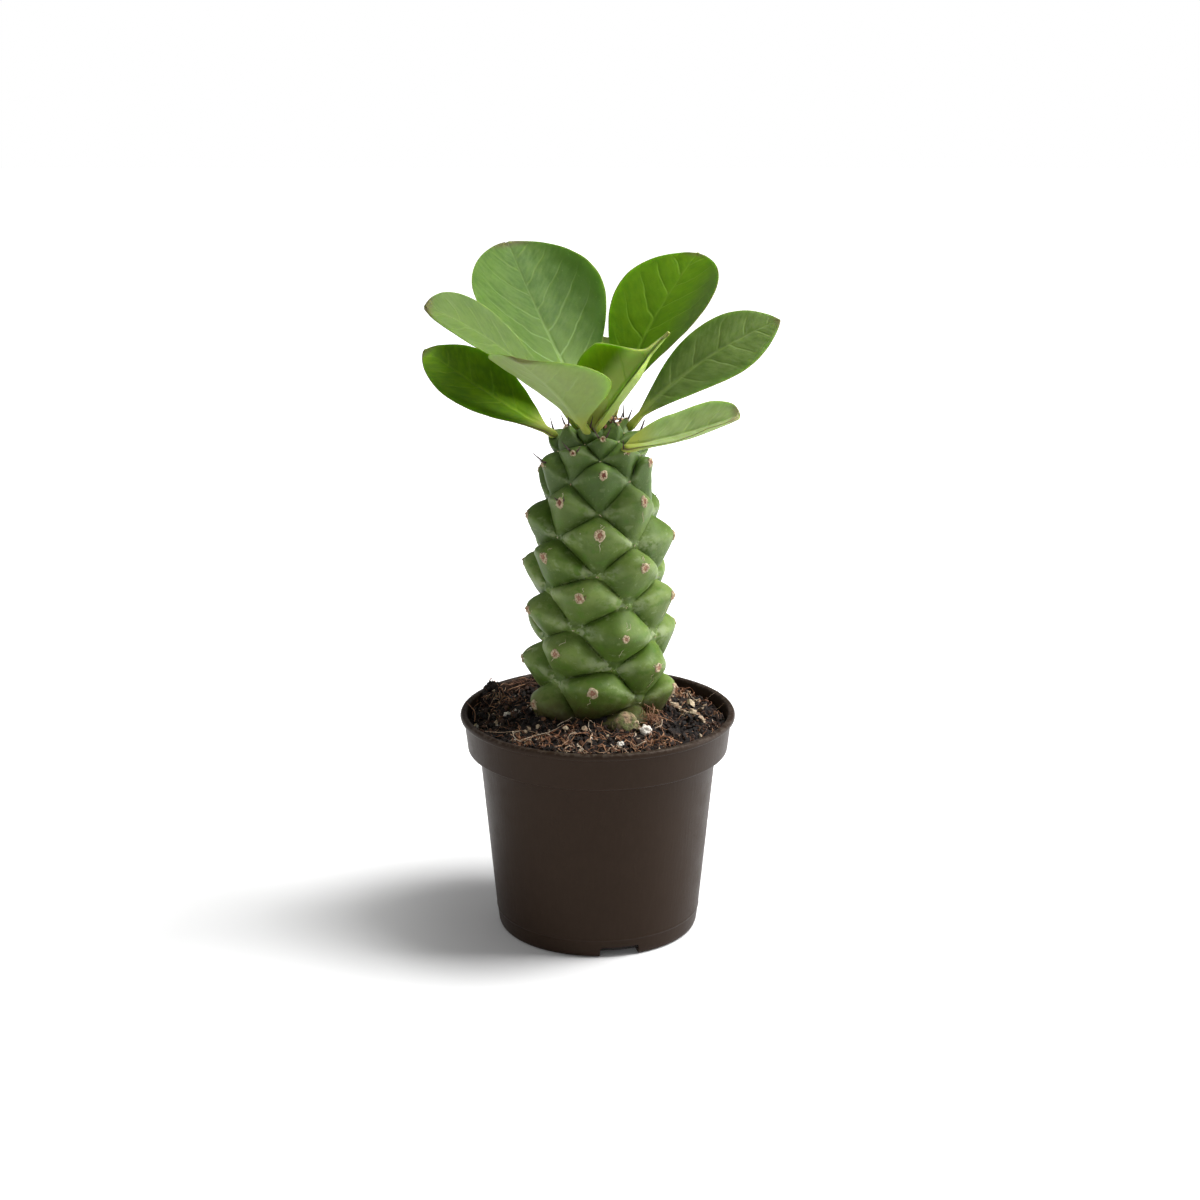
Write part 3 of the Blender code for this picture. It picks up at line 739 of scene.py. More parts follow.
class Tubercle:
    """One four-sided cushion: u runs from its lower left side to its upper right, v across that."""

    def __init__(self, n):
        self.n = n
        self.tip = tubercle_place(n)
        self.top, self.left, self.bottom, self.right = (
            lattice_corner(n - 8), lattice_corner(n - 5), lattice_corner(n), lattice_corner(n - 3))
        for point in (self.top, self.left, self.bottom, self.right):
            point.x = near(point.x, self.tip.x)
        self.shift = self.tip - (self.top + self.left + self.bottom + self.right) / 4
        age = smoothstep(n, 3, 14)
        self.fullness = 0.88 - 0.24 * age
        self.ridge = 12 - 7.6 * age
        self.brow = 6 - 2.6 * age
        self.blunt = 0.15 + 0.13 * age
        self.bridges = [0.05 + 0.25 * smoothstep(m, 2, 9) for m in (n - 8, n - 5, n, n - 3)]

    def flat(self, u, v):
        """Turn and height along the skin of a point of the cushion."""
        a, b = (1 + u) / 2, (1 + v) / 2
        low, high = self.bottom * (1 - a) + self.right * a, self.left * (1 - a) + self.top * a
        return low * (1 - b) + high * b + self.shift * (1 - u * u) * (1 - v * v)

    def swell(self, u, v):
        """0 in the crease round the cushion, 1 on its tip; its ridges are crisp to the two sides and
        soft above and below, and old cushions run together where four of them meet."""
        most = max(abs(u), abs(v))
        crisp = (self.ridge if u * v < 0 else self.brow) * (0.35 + 0.65 * most)
        out = min(1.0, (abs(u) ** crisp + abs(v) ** crisp) ** (1 / crisp))
        out = sqrt(out * out * (1 - self.blunt ** 2) + self.blunt ** 2)
        bulge = (1 - out) ** self.fullness * (1 - self.blunt) ** -self.fullness
        a, b = (1 + u) / 2, (1 + v) / 2
        bridge = sum(rise * (x * y) ** 3 for rise, x, y in
                     zip(self.bridges, (a, 1 - a, 1 - a, a), (b, b, 1 - b, 1 - b)))
        return bulge + (1 - bulge) * bridge

    def skin(self, u, v):
        """Point on the skin: the shaft up to the shoulder, or the dome above it."""
        turn, along = self.flat(u, v)
        swell = self.swell(u, v)
        angle = radians(turn - 90)
        if along > SHOULDER:
            lean = min(pi / 2, (along - SHOULDER) / CROWN_REACH)
            r, z = CROWN_RADIUS * cos(lean), SHOULDER + CROWN_HEIGHT * sin(lean)
            height = 0.0058 * (0.65 + 0.35 * cos(lean))
        else:
            lean = 0.0
            taper = smoothstep(along, TAPER_START, SHOULDER + 0.004)
            taper /= smoothstep(SHOULDER, TAPER_START, SHOULDER + 0.004)
            r, z = VALLEY_RADIUS - (VALLEY_RADIUS - CROWN_RADIUS) * taper, along
            height = 0.0080 - 0.0022 * taper + 0.0012 * bell(z, 0, 0.108, 0, 0.022)
        buried = 1 - smoothstep(z, 0.079, 0.087)
        height *= 1 - 0.85 * buried
        r += 0.0012 * buried + height * swell * cos(lean)
        z += height * swell * sin(lean)
        sway = 0.0010 * bell(z, 0, 0.112, 0, 0.030)
        point = Vector((r * cos(angle) + sway, r * sin(angle), z))
        soft = noise.noise(point / 0.0070) * 0.00035 + noise.noise(point / 0.0024) * 0.00007
        return point + Vector((cos(angle), sin(angle), 0)) * soft * min(1, swell * 4)

    def skin_and_out(self, u, v, step=0.02):
        """Point on the skin, and the direction straight out of it."""
        here = self.skin(u, v)
        across, up = self.skin(u + step, v) - here, self.skin(u, v + step) - here
        return here, across.cross(up).normalized()


def stretched_step(i):
    """Steps from -1 to 1, closer together round 0."""
    w = -1 + 2 * i / FACETS
    return abs(w) ** 1.3 * (1 if w > 0 else -1)


def settle(name, skin):
    """Puts a skin that was laid point by point into the scene."""
    mesh = bpy.data.meshes.new(name)
    skin.to_mesh(mesh)
    skin.free()
    return set_down(name, mesh)


tubercles = [Tubercle(n) for n in range(YOUNGEST, OLDEST + 1)]
skin = bmesh.new()
layers = [skin.verts.layers.float.new(label) for label in ("swell", "tone", "drop", "flank")]
for cushion in tubercles:
    tone = chance.random()
    grid = []
    for i in range(FACETS + 1):
        u = stretched_step(i)
        row = []
        for j in range(FACETS + 1):
            v = stretched_step(j)
            vertex = skin.verts.new(cushion.skin(u, v))
            swell = cushion.swell(u, v)
            own_tone = 0.5 + (tone - 0.5) * min(1, swell * 5)
            for layer, value in zip(layers, (swell, own_tone, (u + v) / 2, abs(u - v) / 2)):
                vertex[layer] = value
            row.append(vertex)
        grid.append(row)
    for i in range(FACETS):
        for j in range(FACETS):
            skin.faces.new((grid[i][j], grid[i + 1][j], grid[i + 1][j + 1], grid[i][j + 1]))
bmesh.ops.remove_doubles(skin, verts=skin.verts, dist=4e-6)
open_edges = [edge for edge in skin.edges if edge.is_boundary]
apex = skin.verts.new((0, 0, SHOULDER + CROWN_HEIGHT + 0.0025))
root = skin.verts.new((0, 0, 0.0640))
for edge in open_edges:
    skin.faces.new((*edge.verts, apex if edge.verts[0].co.z > 0.15 else root))
bmesh.ops.recalc_face_normals(skin, faces=skin.faces)
stem = settle("euphorbia_stem", skin)
deselect()
stem.select_set(True)
bpy.context.view_layer.objects.active = stem
bpy.ops.object.shade_smooth_by_angle(angle=radians(48))

cuticle, shader, place = start_finish("stem_cuticle")
swell, tone, drop, flank = [place.attribute(label) for label in ("swell", "tone", "drop", "flank")]
height = place.part("Z")
mottle = place.noise(0.0065, 4)
patch = place.stretched(1.0, 1.0, 1.3).noise(0.0042, 3)
fine = place.noise(0.0011, 3)
bloom = (mottle * 0.9 + tone * 0.45 + swell * 0.30).ramp(0.45, 1.15)
green = bloom.mix((0.080, 0.142, 0.014), (0.178, 0.250, 0.062))
# Painted shade: the lower faces of each tubercle, which turn down and away from the lamps, are painted a
# deeper, darker green.
under = (drop + (mottle - 0.5) * 0.8).ramp(0.10, -0.45) * swell.ramp(0.0, 0.15)
green = (under * 0.52).mix(green, (0.050, 0.094, 0.008))
green = (patch.ramp(0.54, 0.66) * swell.ramp(0.05, 0.4) * 0.55).mix(green, (0.075, 0.165, 0.012))
# Painted highlight: a pale line along the side ridges of each tubercle, where they catch the light.
ridge = (drop * drop).ramp(0.10, 0.0) * flank.ramp(0.25, 0.90) * patch.ramp(0.60, 0.42)
green = (ridge * 0.78).mix(green, (0.310, 0.370, 0.195))
# Pale patches: partly the waxy bloom of the skin, partly a painted sheen in place of soft highlights.
green = (patch.ramp(0.40, 0.30) * 0.35).mix(green, (0.290, 0.365, 0.165))
# Painted shade in the creases between the tubercles, darkest in the crease itself.
green = (swell.ramp(0.16, 0.01) * 0.6).mix(green, (0.060, 0.115, 0.014))
green = (swell.ramp(0.022, 0.0) * 0.5).mix(green, (0.026, 0.050, 0.006))
# Painted shade: the top of the column, under the leaves, is darkened.
green = (height.ramp(0.156, 0.184) * 0.60).mix(green, (0.060, 0.108, 0.024))
green = (fine.ramp(0.60, 0.80) * 0.25).mix(green, (0.34, 0.42, 0.20))
green = (place.specks(0.0070, 0.00026, 0.22) * 0.6).mix(green, (0.50, 0.52, 0.32))
old = height.ramp(0.102, 0.088) * place.noise(0.0035, 4).ramp(0.30, 0.62)
green = (old * 0.70).mix(green, (0.105, 0.080, 0.024))
# Darker towards the foot of the stem: partly the olive-brown of the old skin there, partly painted shade
# near the mix.
green = (height.ramp(0.0985, 0.0870) * 0.85).mix(green, (0.036, 0.024, 0.006))
scab = place.node("ShaderNodeVectorMath", {0: place, 1: SCAB}, out="Value", operation="DISTANCE")
scab = (scab + (fine - 0.5) * 0.002).ramp(0.0022, 0.0016) * fine.ramp(0.40, 0.55)
green = (scab * 0.8).mix(green, (0.42, 0.52, 0.27))
wire(shader, Base_Color=green, Roughness=0.42 + mottle * 0.20 + old * 0.2,
     Normal=(fine * 0.4 + patch * 0.8 + place.noise(0.0004, 2) * 0.4).bump(0.00016),
     Specular_IOR_Level=0.28, Specular_Tint=(0.95, 1.0, 0.85, 1),
     Subsurface_Weight=0.6, Subsurface_Radius=(0.8, 1.0, 0.3), Subsurface_Scale=0.0022)
stem.data.materials.append(cuticle)
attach(stem, "root")
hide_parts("stem")


# ---- Leaf scars.
# A fallen leaf leaves a corky ring on the tip of its tubercle, tan outside and red-brown in the
# sunken middle.  Each is a small round patch laid on the skin.

SCAR_RADIUS = 0.0020
SCAR_RINGS, SCAR_SIDES = 9, 26

scars = bmesh.new()
ring_layer = scars.verts.layers.float.new("ring")
tone_layer = scars.verts.layers.float.new("tone")
for cushion in tubercles:
    n = cushion.n
    width = SCAR_RADIUS * chance.uniform(0.80, 1.20) * (1 if n > 0 else 0.75)
    tone = chance.random()
    across = (cushion.right + cushion.top - cushion.bottom - cushion.left) / 4
    climb = (cushion.left + cushion.top - cushion.bottom - cushion.right) / 4
    reach = CROWN_RADIUS * 1.25 if n < 1 else VALLEY_RADIUS + 0.0075
    across.x, climb.x = radians(across.x) * reach, radians(climb.x) * reach
    area = across.x * climb.y - across.y * climb.x
    loops = []
    for ring in range(SCAR_RINGS):
        out = ring / (SCAR_RINGS - 1)
        loop = []
        for side in range(SCAR_SIDES):
            turn = 2 * pi * side / SCAR_SIDES
            uneven = 1 + 0.26 * noise.noise(Vector((cos(turn) * 1.1, sin(turn) * 1.1, n * 3.7)))
            uneven += 0.20 * noise.noise(Vector((cos(turn) * 3.1, sin(turn) * 3.1, n * 5.3)))
            a, b = width * out * uneven * cos(turn), width * 1.08 * out * uneven * sin(turn) - 0.0003
            u, v = (a * climb.y - b * climb.x) / area, (b * across.x - a * across.y) / area
            here, outward = cushion.skin_and_out(u, v)
            ragged = max(0.1, 1 + 1.6 * noise.noise(here / 0.0007))
            lip = exp(-((out - 0.62) / 0.20) ** 2) * 0.00040 * ragged
            floor = 0.00006 * noise.noise(here / 0.0004) - 0.00005
            lift = lip + floor + 0.00010 - 0.0004 * smoothstep(out, 0.86, 1.0)
            vertex = scars.verts.new(here + outward * lift)
            vertex[ring_layer] = out
            vertex[tone_layer] = tone * 0.35 + 0.65 * smoothstep(n, 2, 12)
            loop.append(vertex)
            if ring == 0:
                break
        loops.append(loop)
    for inner, outer in zip(loops, loops[1:]):
        for k in range(SCAR_SIDES):
            j = (k + 1) % SCAR_SIDES
            if len(inner) == 1:
                scars.faces.new((inner[0], outer[k], outer[j]))
            else:
                scars.faces.new((inner[k], outer[k], outer[j], inner[j]))
scar_rings = settle("leaf_scars", scars)
for face in scar_rings.data.polygons:
    face.use_smooth = True

cork, shader, place = start_finish("cork")
ring, tone = place.attribute("ring"), place.attribute("tone")
crumble = place.noise(0.0007, 3)
worn = ring + (crumble - 0.5) * 0.5
tan = crumble.ramp(0.35, 0.65).mix((0.30, 0.205, 0.110), (0.60, 0.50, 0.33))
heart = tone.mix((0.150, 0.038, 0.022), (0.34, 0.175, 0.105))
tan = worn.ramp(0.50, 0.32).mix(tan, heart)
tan = (worn.ramp(0.20, 0.08) * tone * 0.7).mix(tan, (0.46, 0.33, 0.21))
tan = (crumble.ramp(0.40, 0.30) * 0.6).mix(tan, (0.12, 0.070, 0.040))
tan = worn.ramp(0.78, 0.96).mix(tan, (0.13, 0.18, 0.06))
wire(shader, Base_Color=tan, Roughness=0.80 + crumble * 0.15, Normal=crumble.bump(0.0002))
scar_rings.data.materials.append(cork)
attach(scar_rings, "root")


# ---- Root crown.
# Where the first root leaves the stem its foot swells into a corky knob, half in the mix.  It is a
# ball, pulled out of round and cracked all over.

KNOB_PLACE = (0.0106, -0.0244, 0.0868)
KNOB_SIZE = (0.0112, 0.0088, 0.0116)

deselect()
bpy.ops.mesh.primitive_ico_sphere_add(subdivisions=5, radius=0.5)
knob = bpy.context.object
knob.name = "root_crown"
for vertex in knob.data.vertices:
    vertex.co *= 1 + 0.22 * noise.noise(vertex.co * 2.3) + 0.05 * noise.noise(vertex.co * 9)
knob.data.transform(Matrix.Translation(KNOB_PLACE) @ Matrix.Rotation(radians(24), 4, "Z")
                    @ Matrix.Diagonal((*KNOB_SIZE, 1)))
bpy.ops.object.shade_smooth()

bark_skin, shader, place = start_finish("root_bark")
crack = place.noise(0.0012, 4)
blush = place.noise(0.0036, 3)
hull = blush.ramp(0.40, 0.62).mix((0.105, 0.120, 0.032), (0.300, 0.205, 0.115))
hull = (crack.ramp(0.48, 0.36) * 0.8).mix(hull, (0.055, 0.032, 0.014))
hull = (crack.ramp(0.60, 0.72) * 0.5).mix(hull, (0.46, 0.36, 0.23))
wire(shader, Base_Color=hull, Roughness=0.75 + crack * 0.2, Normal=crack.bump(0.0005))
knob.data.materials.append(bark_skin)
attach(knob, "root")


# ---- Corky specks and threads on the skin.
# The scars shed crumbs of cork, every corner where tubercles meet keeps the dry stub of a stipule,
# and the oldest skin is crazed with short pale threads.

YOUNGEST_FLAKING = -9
YOUNGEST_CRAZED = 4


def above_skin(cushion, u, v, lift):
    here, outward = cushion.skin_and_out(u, v)
    return here + outward * lift


specks = Heap()
for cushion in tubercles:
    if cushion.n < YOUNGEST_FLAKING:
        continue
    for _ in range(11):
        turn = chance.uniform(0, 2 * pi)
        out = chance.uniform(0.07, 0.19) * (1 if cushion.n > 0 else 1.3)
        size = chance.uniform(0.00025, 0.00060)
        place = above_skin(cushion, out * cos(turn), out * sin(turn), 0.0001)
        specks.crumb(place, size, 1.0, 0.6)
    for _ in range(chance.choice((1, 2, 3, 4))):
        place = above_skin(cushion, 0.95 + chance.gauss(0, 0.03), 0.95 + chance.gauss(0, 0.03), 0.0001)
        specks.crumb(place, chance.uniform(0.0003, 0.0007), 0.8, 0.6, tones=(0.5, 1.0))
    if cushion.n < YOUNGEST_CRAZED:
        continue
    for _ in range(chance.choice((1, 2, 3))):
        u = chance.choice((-1, 1)) * chance.uniform(0.15, 0.30)
        v = u * chance.uniform(0.6, 1.4)
        path = []
        for _ in range(5):
            path.append(above_skin(cushion, u, v, 0.00004))
            step = 0.06 if u > 0 else -0.06
            u, v = u + step + chance.gauss(0, 0.035), v + step + chance.gauss(0, 0.035)
        specks.strand(path, 0.00009, chance.uniform(0.75, 1.0), blunt=0.2)

flakes, shader, place = start_finish("cork_crumbs")
shade = place.attribute("tone").shades(
    (0.0, (0.10, 0.050, 0.028)), (0.35, (0.28, 0.17, 0.10)), (0.70, (0.52, 0.42, 0.26)),
    (1.0, (0.70, 0.66, 0.45)))
wire(shader, Base_Color=shade, Roughness=0.8 + place.noise(0.0005, 2) * 0.15,
     Normal=place.noise(0.0002, 1).bump(0.00005))
cork_specks = specks.piece("cork_specks", flakes)
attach(cork_specks, "root")


# ---- Leaves.
# Nine thick, spoon-shaped leaves on short stalks.  A blade is one sheet, shaped along its midrib,
# cupped or folded on it, and thickened most along the stalk; its two sides differ in colour.

leaves = {
    "leaf_back_left": dict(base=(-0.0030, 0.0069, 0.1975), heading=131, rise=47.5, curl=8, length=0.0770,
                           width=0.059, cup=15, roll=-5, full=0.68, blunt=0.67),
    "leaf_left": dict(base=(-0.0080, -0.0005, 0.1961), heading=191, rise=56, curl=-33, length=0.0723,
                      width=0.0334, cup=11, roll=-23, full=0.75, blunt=0.59),
    "leaf_low_left": dict(base=(-0.0163, 0.0010, 0.1924), heading=162, rise=27, curl=4.5, length=0.0585,
                          width=0.0346, cup=8, roll=-20, full=0.63, blunt=0.80),
    "leaf_front_left": dict(base=(-0.0039, -0.0125, 0.1963), heading=233, rise=49, curl=-20,
                            length=0.0508, width=0.052, cup=10, roll=0, full=0.66, blunt=0.90, fold=0.5),
    "leaf_front": dict(base=(-0.0013, -0.0094, 0.1958), heading=-2, rise=59, curl=-11, length=0.0454,
                       width=0.0406, cup=56, roll=52, full=0.46, blunt=1.08, fold=0.35, pinch=0.81),
    "leaf_back_right": dict(base=(0.0048, 0.0057, 0.1964), heading=45, rise=64, curl=-27, length=0.0753,
                            width=0.047, cup=8, roll=2, full=0.70, blunt=0.76),
    "leaf_right": dict(base=(0.0119, 0.0019, 0.1949), heading=10, rise=49, curl=-30, length=0.0689,
                       width=0.0245, cup=3, roll=52, full=0.65, blunt=0.84),
    "leaf_low_right": dict(base=(0.0101, -0.0170, 0.1910), heading=-17, rise=14, curl=9, length=0.0442,
                           width=0.0225, cup=24, roll=22, full=0.61, blunt=0.30, fold=0.5),
    "leaf_back": dict(base=(0.0009, 0.0122, 0.1950), heading=88, rise=33, curl=2, length=0.045,
                      width=0.026, cup=12, roll=0, full=0.62, blunt=0.50),
}
STALK_WIDTH = 0.0036
STALK_THICKNESS = 0.0030
BLADE_THICKNESS = 0.0015
STALK_SUNK = 0.0016
VEIN_SPACING = 0.0105
LEAF_ROWS, LEAF_COLUMNS = 90, 40


def half_width(t, width, full, blunt, pinch):
    """Half the leaf's width at t, 0 at the base and 1 at the tip: widest at `full`, with a rounder tip
    for a smaller `blunt`, and narrowed towards the tip by `pinch`."""
    if t >= 1:
        return 0.0
    rise = blunt * full / (1 - full)
    most = full ** rise * (1 - full) ** blunt
    blade = width / 2 * max(t, 0.0001) ** rise * (1 - t) ** blunt / most
    blade *= 1 - pinch * smoothstep(t, 0.58, 0.80)
    return max(blade, STALK_WIDTH / 2 * max(0.0, 1 - 3 * t), 0.00045 * min(1, (1 - t) / 0.012))


def pointing(turn, slope):
    """Direction that heads `turn` from the right of the stem and climbs by `slope`, in radians."""
    return Vector((cos(slope) * cos(turn), cos(slope) * sin(turn), sin(slope)))


def lay_leaf(name, sides, base, heading, rise, curl, length, width, cup, roll, full, blunt, fold=1.0,
             pinch=0.0):
    """One leaf, from a flat sheet of LEAF_ROWS by LEAF_COLUMNS; `sides` are its two finishes, top first."""
    turn = radians(heading)
    root = STALK_SUNK / length
    rows = []
    centre = Vector(base) - STALK_SUNK * pointing(turn, radians(rise))
    before = -root
    for row in range(LEAF_ROWS + 1):
        t = 1 - (1 + root) * (1 - row / LEAF_ROWS) ** 1.5
        slope = radians(rise + curl * max(0.0, (t + before) / 2))
        centre = centre + length * (t - before) * pointing(turn, slope)
        before = t
        along = pointing(turn, radians(rise + curl * max(0.0, t)))
        across = Vector((-sin(turn), cos(turn), 0))
        tilt = Matrix.Rotation(radians(roll), 3, along)
        rows.append((t, centre, tilt @ across, tilt @ along.cross(across)))

    deselect()
    bpy.ops.mesh.primitive_grid_add(x_subdivisions=LEAF_ROWS, y_subdivisions=LEAF_COLUMNS, size=2)
    leaf = bpy.context.object
    leaf.name = name + "_blade"
    mesh = leaf.data
    body = leaf.vertex_groups.new(name="body")
    measures = {"reach": [], "run": [], "edge": []}
    seed = sum(map(ord, name))
    for vertex in mesh.vertices:
        row = round((vertex.co.x + 1) / 2 * LEAF_ROWS)
        u = max(-1.0, min(1.0, vertex.co.y))
        u = sin(u * pi / 2) * 0.35 + u * 0.65
        t, centre, across, upward = rows[row]
        snub = min(1.0, 0.12 + (t * length + STALK_SUNK) / 0.0022) ** 0.5
        half = half_width(t, width, full, blunt, pinch) * snub
        lift = radians(cup) * abs(u) ** fold
        point = centre + across * half * u * cos(lift) + upward * half * abs(u) * sin(lift)
        wave = noise.noise(Vector((t * 3.2, u * 0.8, seed))) * 0.0011 * abs(u) ** 1.5
        pucker = noise.noise(Vector((t * length, u * half, 0)) / 0.0055 + Vector((seed, 0, 0))) * 0.00022
        channel = (-0.00035 * exp(-(u * half / 0.0011) ** 2)
                   * smoothstep(t, 0.0, 0.15) * smoothstep(t, 1.0, 0.8))
        fade = min(1, max(0.0, half / 0.004 - 0.4))
        vertex.co = point + upward * (wave + pucker + channel) * fade
        thick = BLADE_THICKNESS + (STALK_THICKNESS - BLADE_THICKNESS) * max(0.0, 1 - max(t, 0) / 0.3)
        weight = snub * thick / STALK_THICKNESS * sqrt(max(0.03, 1 - abs(u) ** 2.6))
        body.add([vertex.index], weight, "REPLACE")
        for label, value in (("reach", u * half), ("run", t * length), ("edge", abs(u))):
            measures[label].append(value)
    for label, values in measures.items():
        mesh.attributes.new(label, "FLOAT", "POINT").data.foreach_set("value", values)
    bpy.ops.object.mode_set(mode="EDIT")
    bpy.ops.mesh.select_all(action="SELECT")
    bpy.ops.mesh.remove_doubles(threshold=0.000004)
    bpy.ops.object.mode_set(mode="OBJECT")
    for side in sides:
        mesh.materials.append(side)
    thicken = leaf.modifiers.new("thicken", "SOLIDIFY")
    thicken.thickness = STALK_THICKNESS
    thicken.offset = 0
    thicken.vertex_group = "body"
    thicken.material_offset = 1
    bpy.ops.object.modifier_apply(modifier="thicken")
    bpy.ops.object.shade_smooth_by_angle(angle=radians(60))
    return leaf


def leaf_side(name, length, pale, deep, vein, rim, sunk, far_half=None, heart=0.0, trough=None):
    """Finish of one side of a leaf.  `sunk` is how deep its veins lie, or less than 0 where they stand up;
    `far_half` is (-1 or 1, colour, start, end) for a half that turns to another green between two
    reaches, a painted shade on the half that is turned from the light; `heart` is how much paler the
    blade is near its stalk; `trough` is the pale colour beside the midrib of a folded leaf, a painted
    highlight where that side faces the light."""
    side, shader, place = start_finish(name)
    reach, run, edge = [place.attribute(label) for label in ("reach", "run", "edge")]
    out = abs(reach)
    cloud = place.noise(0.0100, 3)
    fine = place.noise(0.0013, 3)
    wander = (place.noise(0.0150, 2) - 0.5) * 0.0060
    row = (run - out * 0.70 - out * out * 14.0 + wander) / VEIN_SPACING + (reach > 0) * 0.43
    off_line = abs(row.math("FRACT") - 0.5)
    rooted = out.ramp(0.0, 0.0012) * edge.ramp(0.90, 0.45) * run.ramp(0.006, 0.018)
    lateral = off_line.ramp(0.075, 0.0) * rooted
    quilt = off_line.ramp(0.28, 0.0) * rooted
    slender = run.ramp(0.010, 0.060)
    midrib = (out + slender * 0.0007).ramp(0.0016, 0.0005) * (1 - slender * 0.55)
    flat = place.node("ShaderNodeCombineXYZ", {0: out, 1: run - out * 0.8, 2: 0.0}).stretched(1, 1.7, 1)
    streak = flat.noise(0.0034, 3)
    colour = (cloud * 0.5 + streak * 0.5).ramp(0.32, 0.68).mix(pale, deep)
    if heart:
        colour = (run.ramp(0.050, 0.012) * edge.ramp(1.0, 0.2) * heart * 0.6).mix(colour, vein)
        bright = tuple(1.10 * c + extra for c, extra in zip(vein, (0, 0, 0.05)))
        colour = (lateral.math("MAXIMUM", midrib) * run.ramp(0.066, 0.020) * heart).mix(colour, bright)
    # Painted highlight: the folded leaf's blade beside its midrib is painted pale, where that side faces the
    # light.
    if trough:
        colour = ((out + (cloud - 0.5) * 0.004).ramp(0.0115, 0.0045) * (reach > -0.0006)).mix(colour, trough)
    # Painted shade: the half of the blade turned from the light is painted a deeper or duller green.
    if far_half:
        hand, shaded, start, end = far_half
        colour = ((reach * hand + cloud * 0.004).ramp(start, end) * 0.9).mix(colour, shaded)
    colour = (fine.ramp(0.62, 0.78) * 0.20).mix(colour, vein)
    colour = (lateral * (0.10 + cloud * 0.34)).mix(colour, vein)
    colour = (midrib * 0.50).mix(colour, vein)
    colour = run.ramp(0.014, 0.003).mix(colour, (0.32, 0.36, 0.070))
    colour = (edge.ramp(0.965, 0.995) * 0.70).mix(colour, rim)
    colour = (run.ramp(length - 0.0035, length - 0.0006) * 0.6).mix(colour, (0.120, 0.075, 0.045))
    colour = (place.specks(0.0085, 0.00022, 0.14) * 0.5).mix(colour, (0.10, 0.085, 0.04))
    relief = (quilt * 0.6 + lateral * 0.6 + midrib * 1.4) * (-sunk) + fine * 0.07 + streak * 0.12
    wire(shader, Base_Color=colour, Roughness=0.48 + fine * 0.16, Normal=relief.bump(0.00045, 0.9),
         Specular_IOR_Level=0.12, Subsurface_Weight=0.75, Subsurface_Radius=(0.7, 1.0, 0.2),
         Subsurface_Scale=0.0024)
    return side


# Each leaf's upper side, pale and deep, its underside, its rim, and what `leaf_side` asks besides.
green_rim = (0.120, 0.170, 0.040)
brown_rim = (0.105, 0.062, 0.042)
# The far halves given to the back leaves and the front leaf are painted shade on the half turned from the
# light.
leaf_greens = {
    "leaf_back_left": ((0.118, 0.204, 0.040), (0.066, 0.134, 0.018), (0.16, 0.23, 0.07), green_rim,
                       dict(far_half=(-1, (0.040, 0.098, 0.001), 0.009, 0.026), heart=0.85)),
    "leaf_left": ((0.128, 0.196, 0.048), (0.090, 0.150, 0.032), (0.18, 0.25, 0.08), green_rim, {}),
    "leaf_low_left": ((0.160, 0.305, 0.002), (0.095, 0.210, 0.001), (0.14, 0.22, 0.03), brown_rim, {}),
    "leaf_front_left": ((0.180, 0.270, 0.060), (0.140, 0.220, 0.040), (0.265, 0.355, 0.106), green_rim, {}),
    # The front leaf's trough is a painted highlight beside its midrib.
    "leaf_front": ((0.245, 0.420, 0.004), (0.180, 0.340, 0.003), (0.30, 0.40, 0.09), green_rim,
                   dict(trough=(0.70, 0.78, 0.28), far_half=(-1, (0.130, 0.175, 0.045), 0.0015, 0.004))),
    "leaf_back_right": ((0.115, 0.238, 0.003), (0.085, 0.190, 0.002), (0.14, 0.22, 0.03), brown_rim,
                        dict(far_half=(-1, (0.085, 0.138, 0.026), 0.009, 0.024))),
    "leaf_right": ((0.160, 0.238, 0.060), (0.092, 0.152, 0.026), (0.16, 0.23, 0.07), brown_rim, {}),
    "leaf_low_right": ((0.330, 0.425, 0.165), (0.230, 0.315, 0.100), (0.30, 0.40, 0.13), brown_rim, {}),
    "leaf_back": ((0.130, 0.220, 0.030), (0.095, 0.175, 0.020), (0.15, 0.23, 0.05), green_rim, {}),
}
for name, shape in leaves.items():
    pale, deep, below, rim, extras = leaf_greens[name]
    length = shape["length"]
    vein = tuple(min(1.0, c * 1.25 + 0.08 * warm) for c, warm in zip(pale, (1, 1, 0.4)))
    deep_below = tuple(0.85 * c for c in below)
    vein_below = tuple(1.15 * c + 0.03 for c in below)
    upper = leaf_side(name + "_upper", length, pale, deep, vein, rim, 0.5, **extras)
    under = leaf_side(name + "_under", length, below, deep_below, vein_below, rim, -0.3)
    leaf = lay_leaf(name, (upper, under), **shape)
    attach(leaf, "root")
    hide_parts(name)


# ---- Crown spines and dry scales.
# Short dark thorns stand in pairs beside the youngest scars, and papery red-brown bud scales are
# left between the stalks.

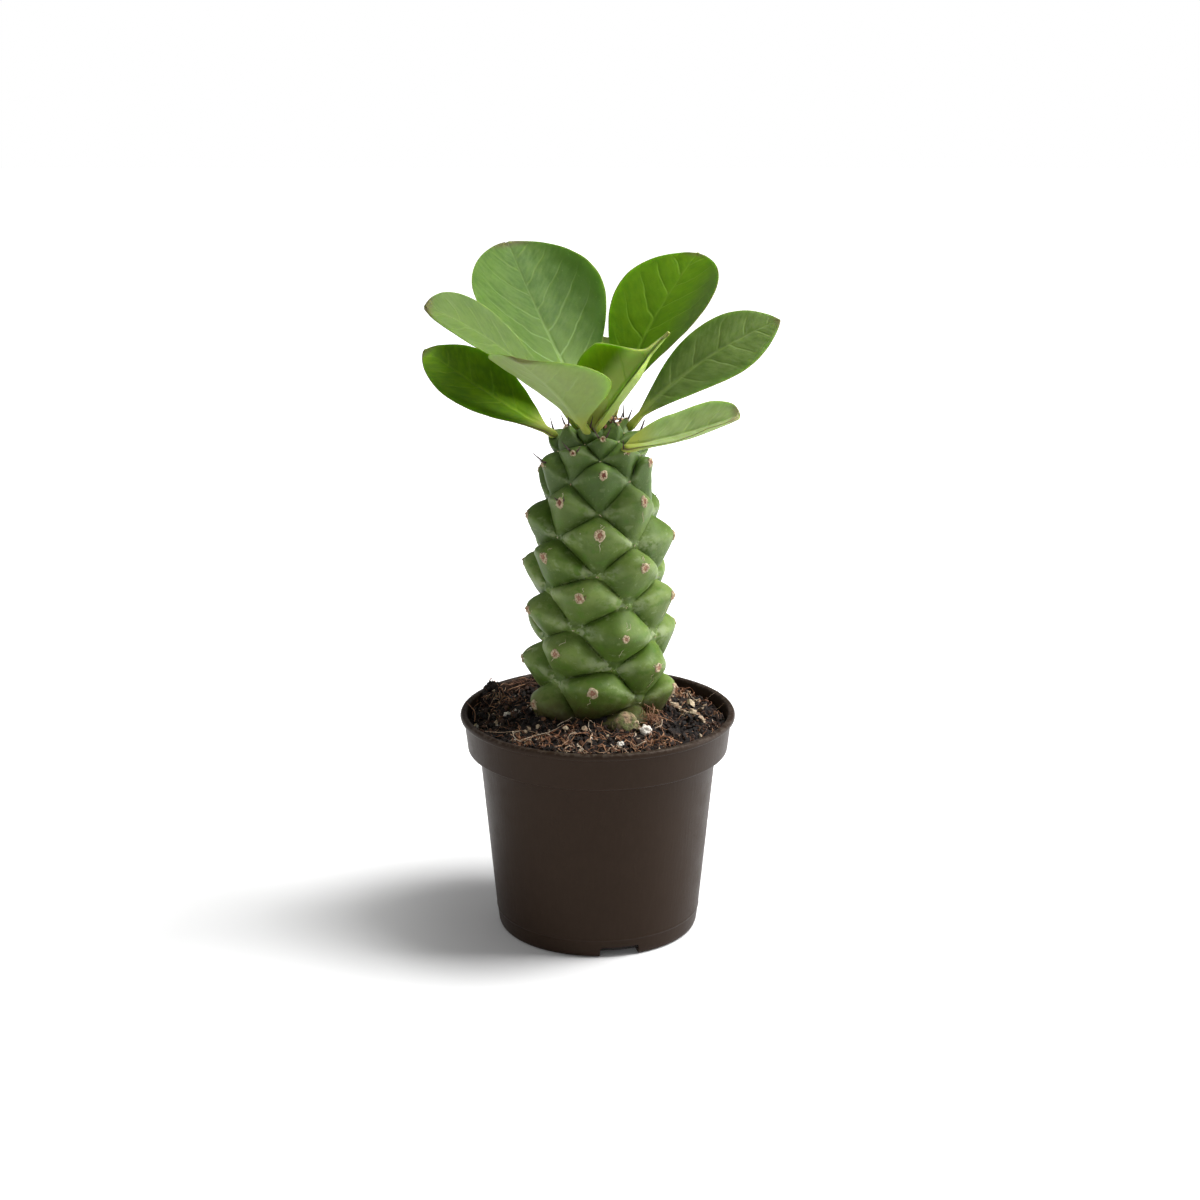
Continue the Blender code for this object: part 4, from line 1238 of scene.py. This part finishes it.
OLDEST_WITH_THORNS = 8
THORNS_LOST = (1, 2, 3, 6, 7)

spines = Heap()
for cushion in tubercles:
    if cushion.n > OLDEST_WITH_THORNS or cushion.n in THORNS_LOST:
        continue
    tip, out = cushion.skin_and_out(0, 0, step=0.03)
    side = Vector((0, 0, 1)).cross(out).normalized()
    for hand in (-1, 1):
        root = tip + side * hand * 0.0014 + Vector((0, 0, 0.0008)) - out * 0.0006
        aim = out + side * hand * chance.uniform(0.3, 0.8) + Vector((0, 0, chance.uniform(0.0, 0.7)))
        length = chance.uniform(0.0032, 0.0056) if cushion.n < 1 else chance.uniform(0.0014, 0.0024)
        path = [root + aim.normalized() * length * t + Vector((0, 0, 0.0005)) * t * t
                for t in (0, 0.25, 0.5, 0.75, 1)]
        spines.strand(path, lambda t: 0.00036 * (1 - t) + 0.00006, chance.random(), sides=6)

scales = Heap()
for _ in range(75):
    turn = chance.uniform(0, 2 * pi)
    r = chance.uniform(0.0015, 0.0085)
    dome = 0.1980 - 0.0018 * (r / 0.0100) ** 2
    place = Vector((r * cos(turn), r * sin(turn), dome + chance.uniform(0, 0.0022)))
    scales.crumb(place, chance.uniform(0.0012, 0.0026), 0.7, 0.35)

papery, shader, place = start_finish("bud_scales")
shade = place.attribute("tone").shades(
    (0.0, (0.060, 0.022, 0.014)), (0.45, (0.180, 0.062, 0.032)), (0.80, (0.36, 0.20, 0.09)),
    (1.0, (0.50, 0.42, 0.18)))
wire(shader, Base_Color=shade, Roughness=0.7 + place.noise(0.0006, 2) * 0.2,
     Normal=place.noise(0.0003, 1).bump(0.00008))
bud_scales = scales.piece("bud_scales", papery)
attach(bud_scales, "root")

thorn, shader, place = start_finish("thorn")
wire(shader, Base_Color=place.noise(0.0009, 2).mix((0.020, 0.010, 0.011), (0.075, 0.030, 0.024)),
     Roughness=0.45 + place.noise(0.0006, 2) * 0.2, Normal=place.noise(0.0004, 1).bump(0.00005))
crown_spines = spines.piece("crown_spines", thorn, smooth=True)
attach(crown_spines, "root")
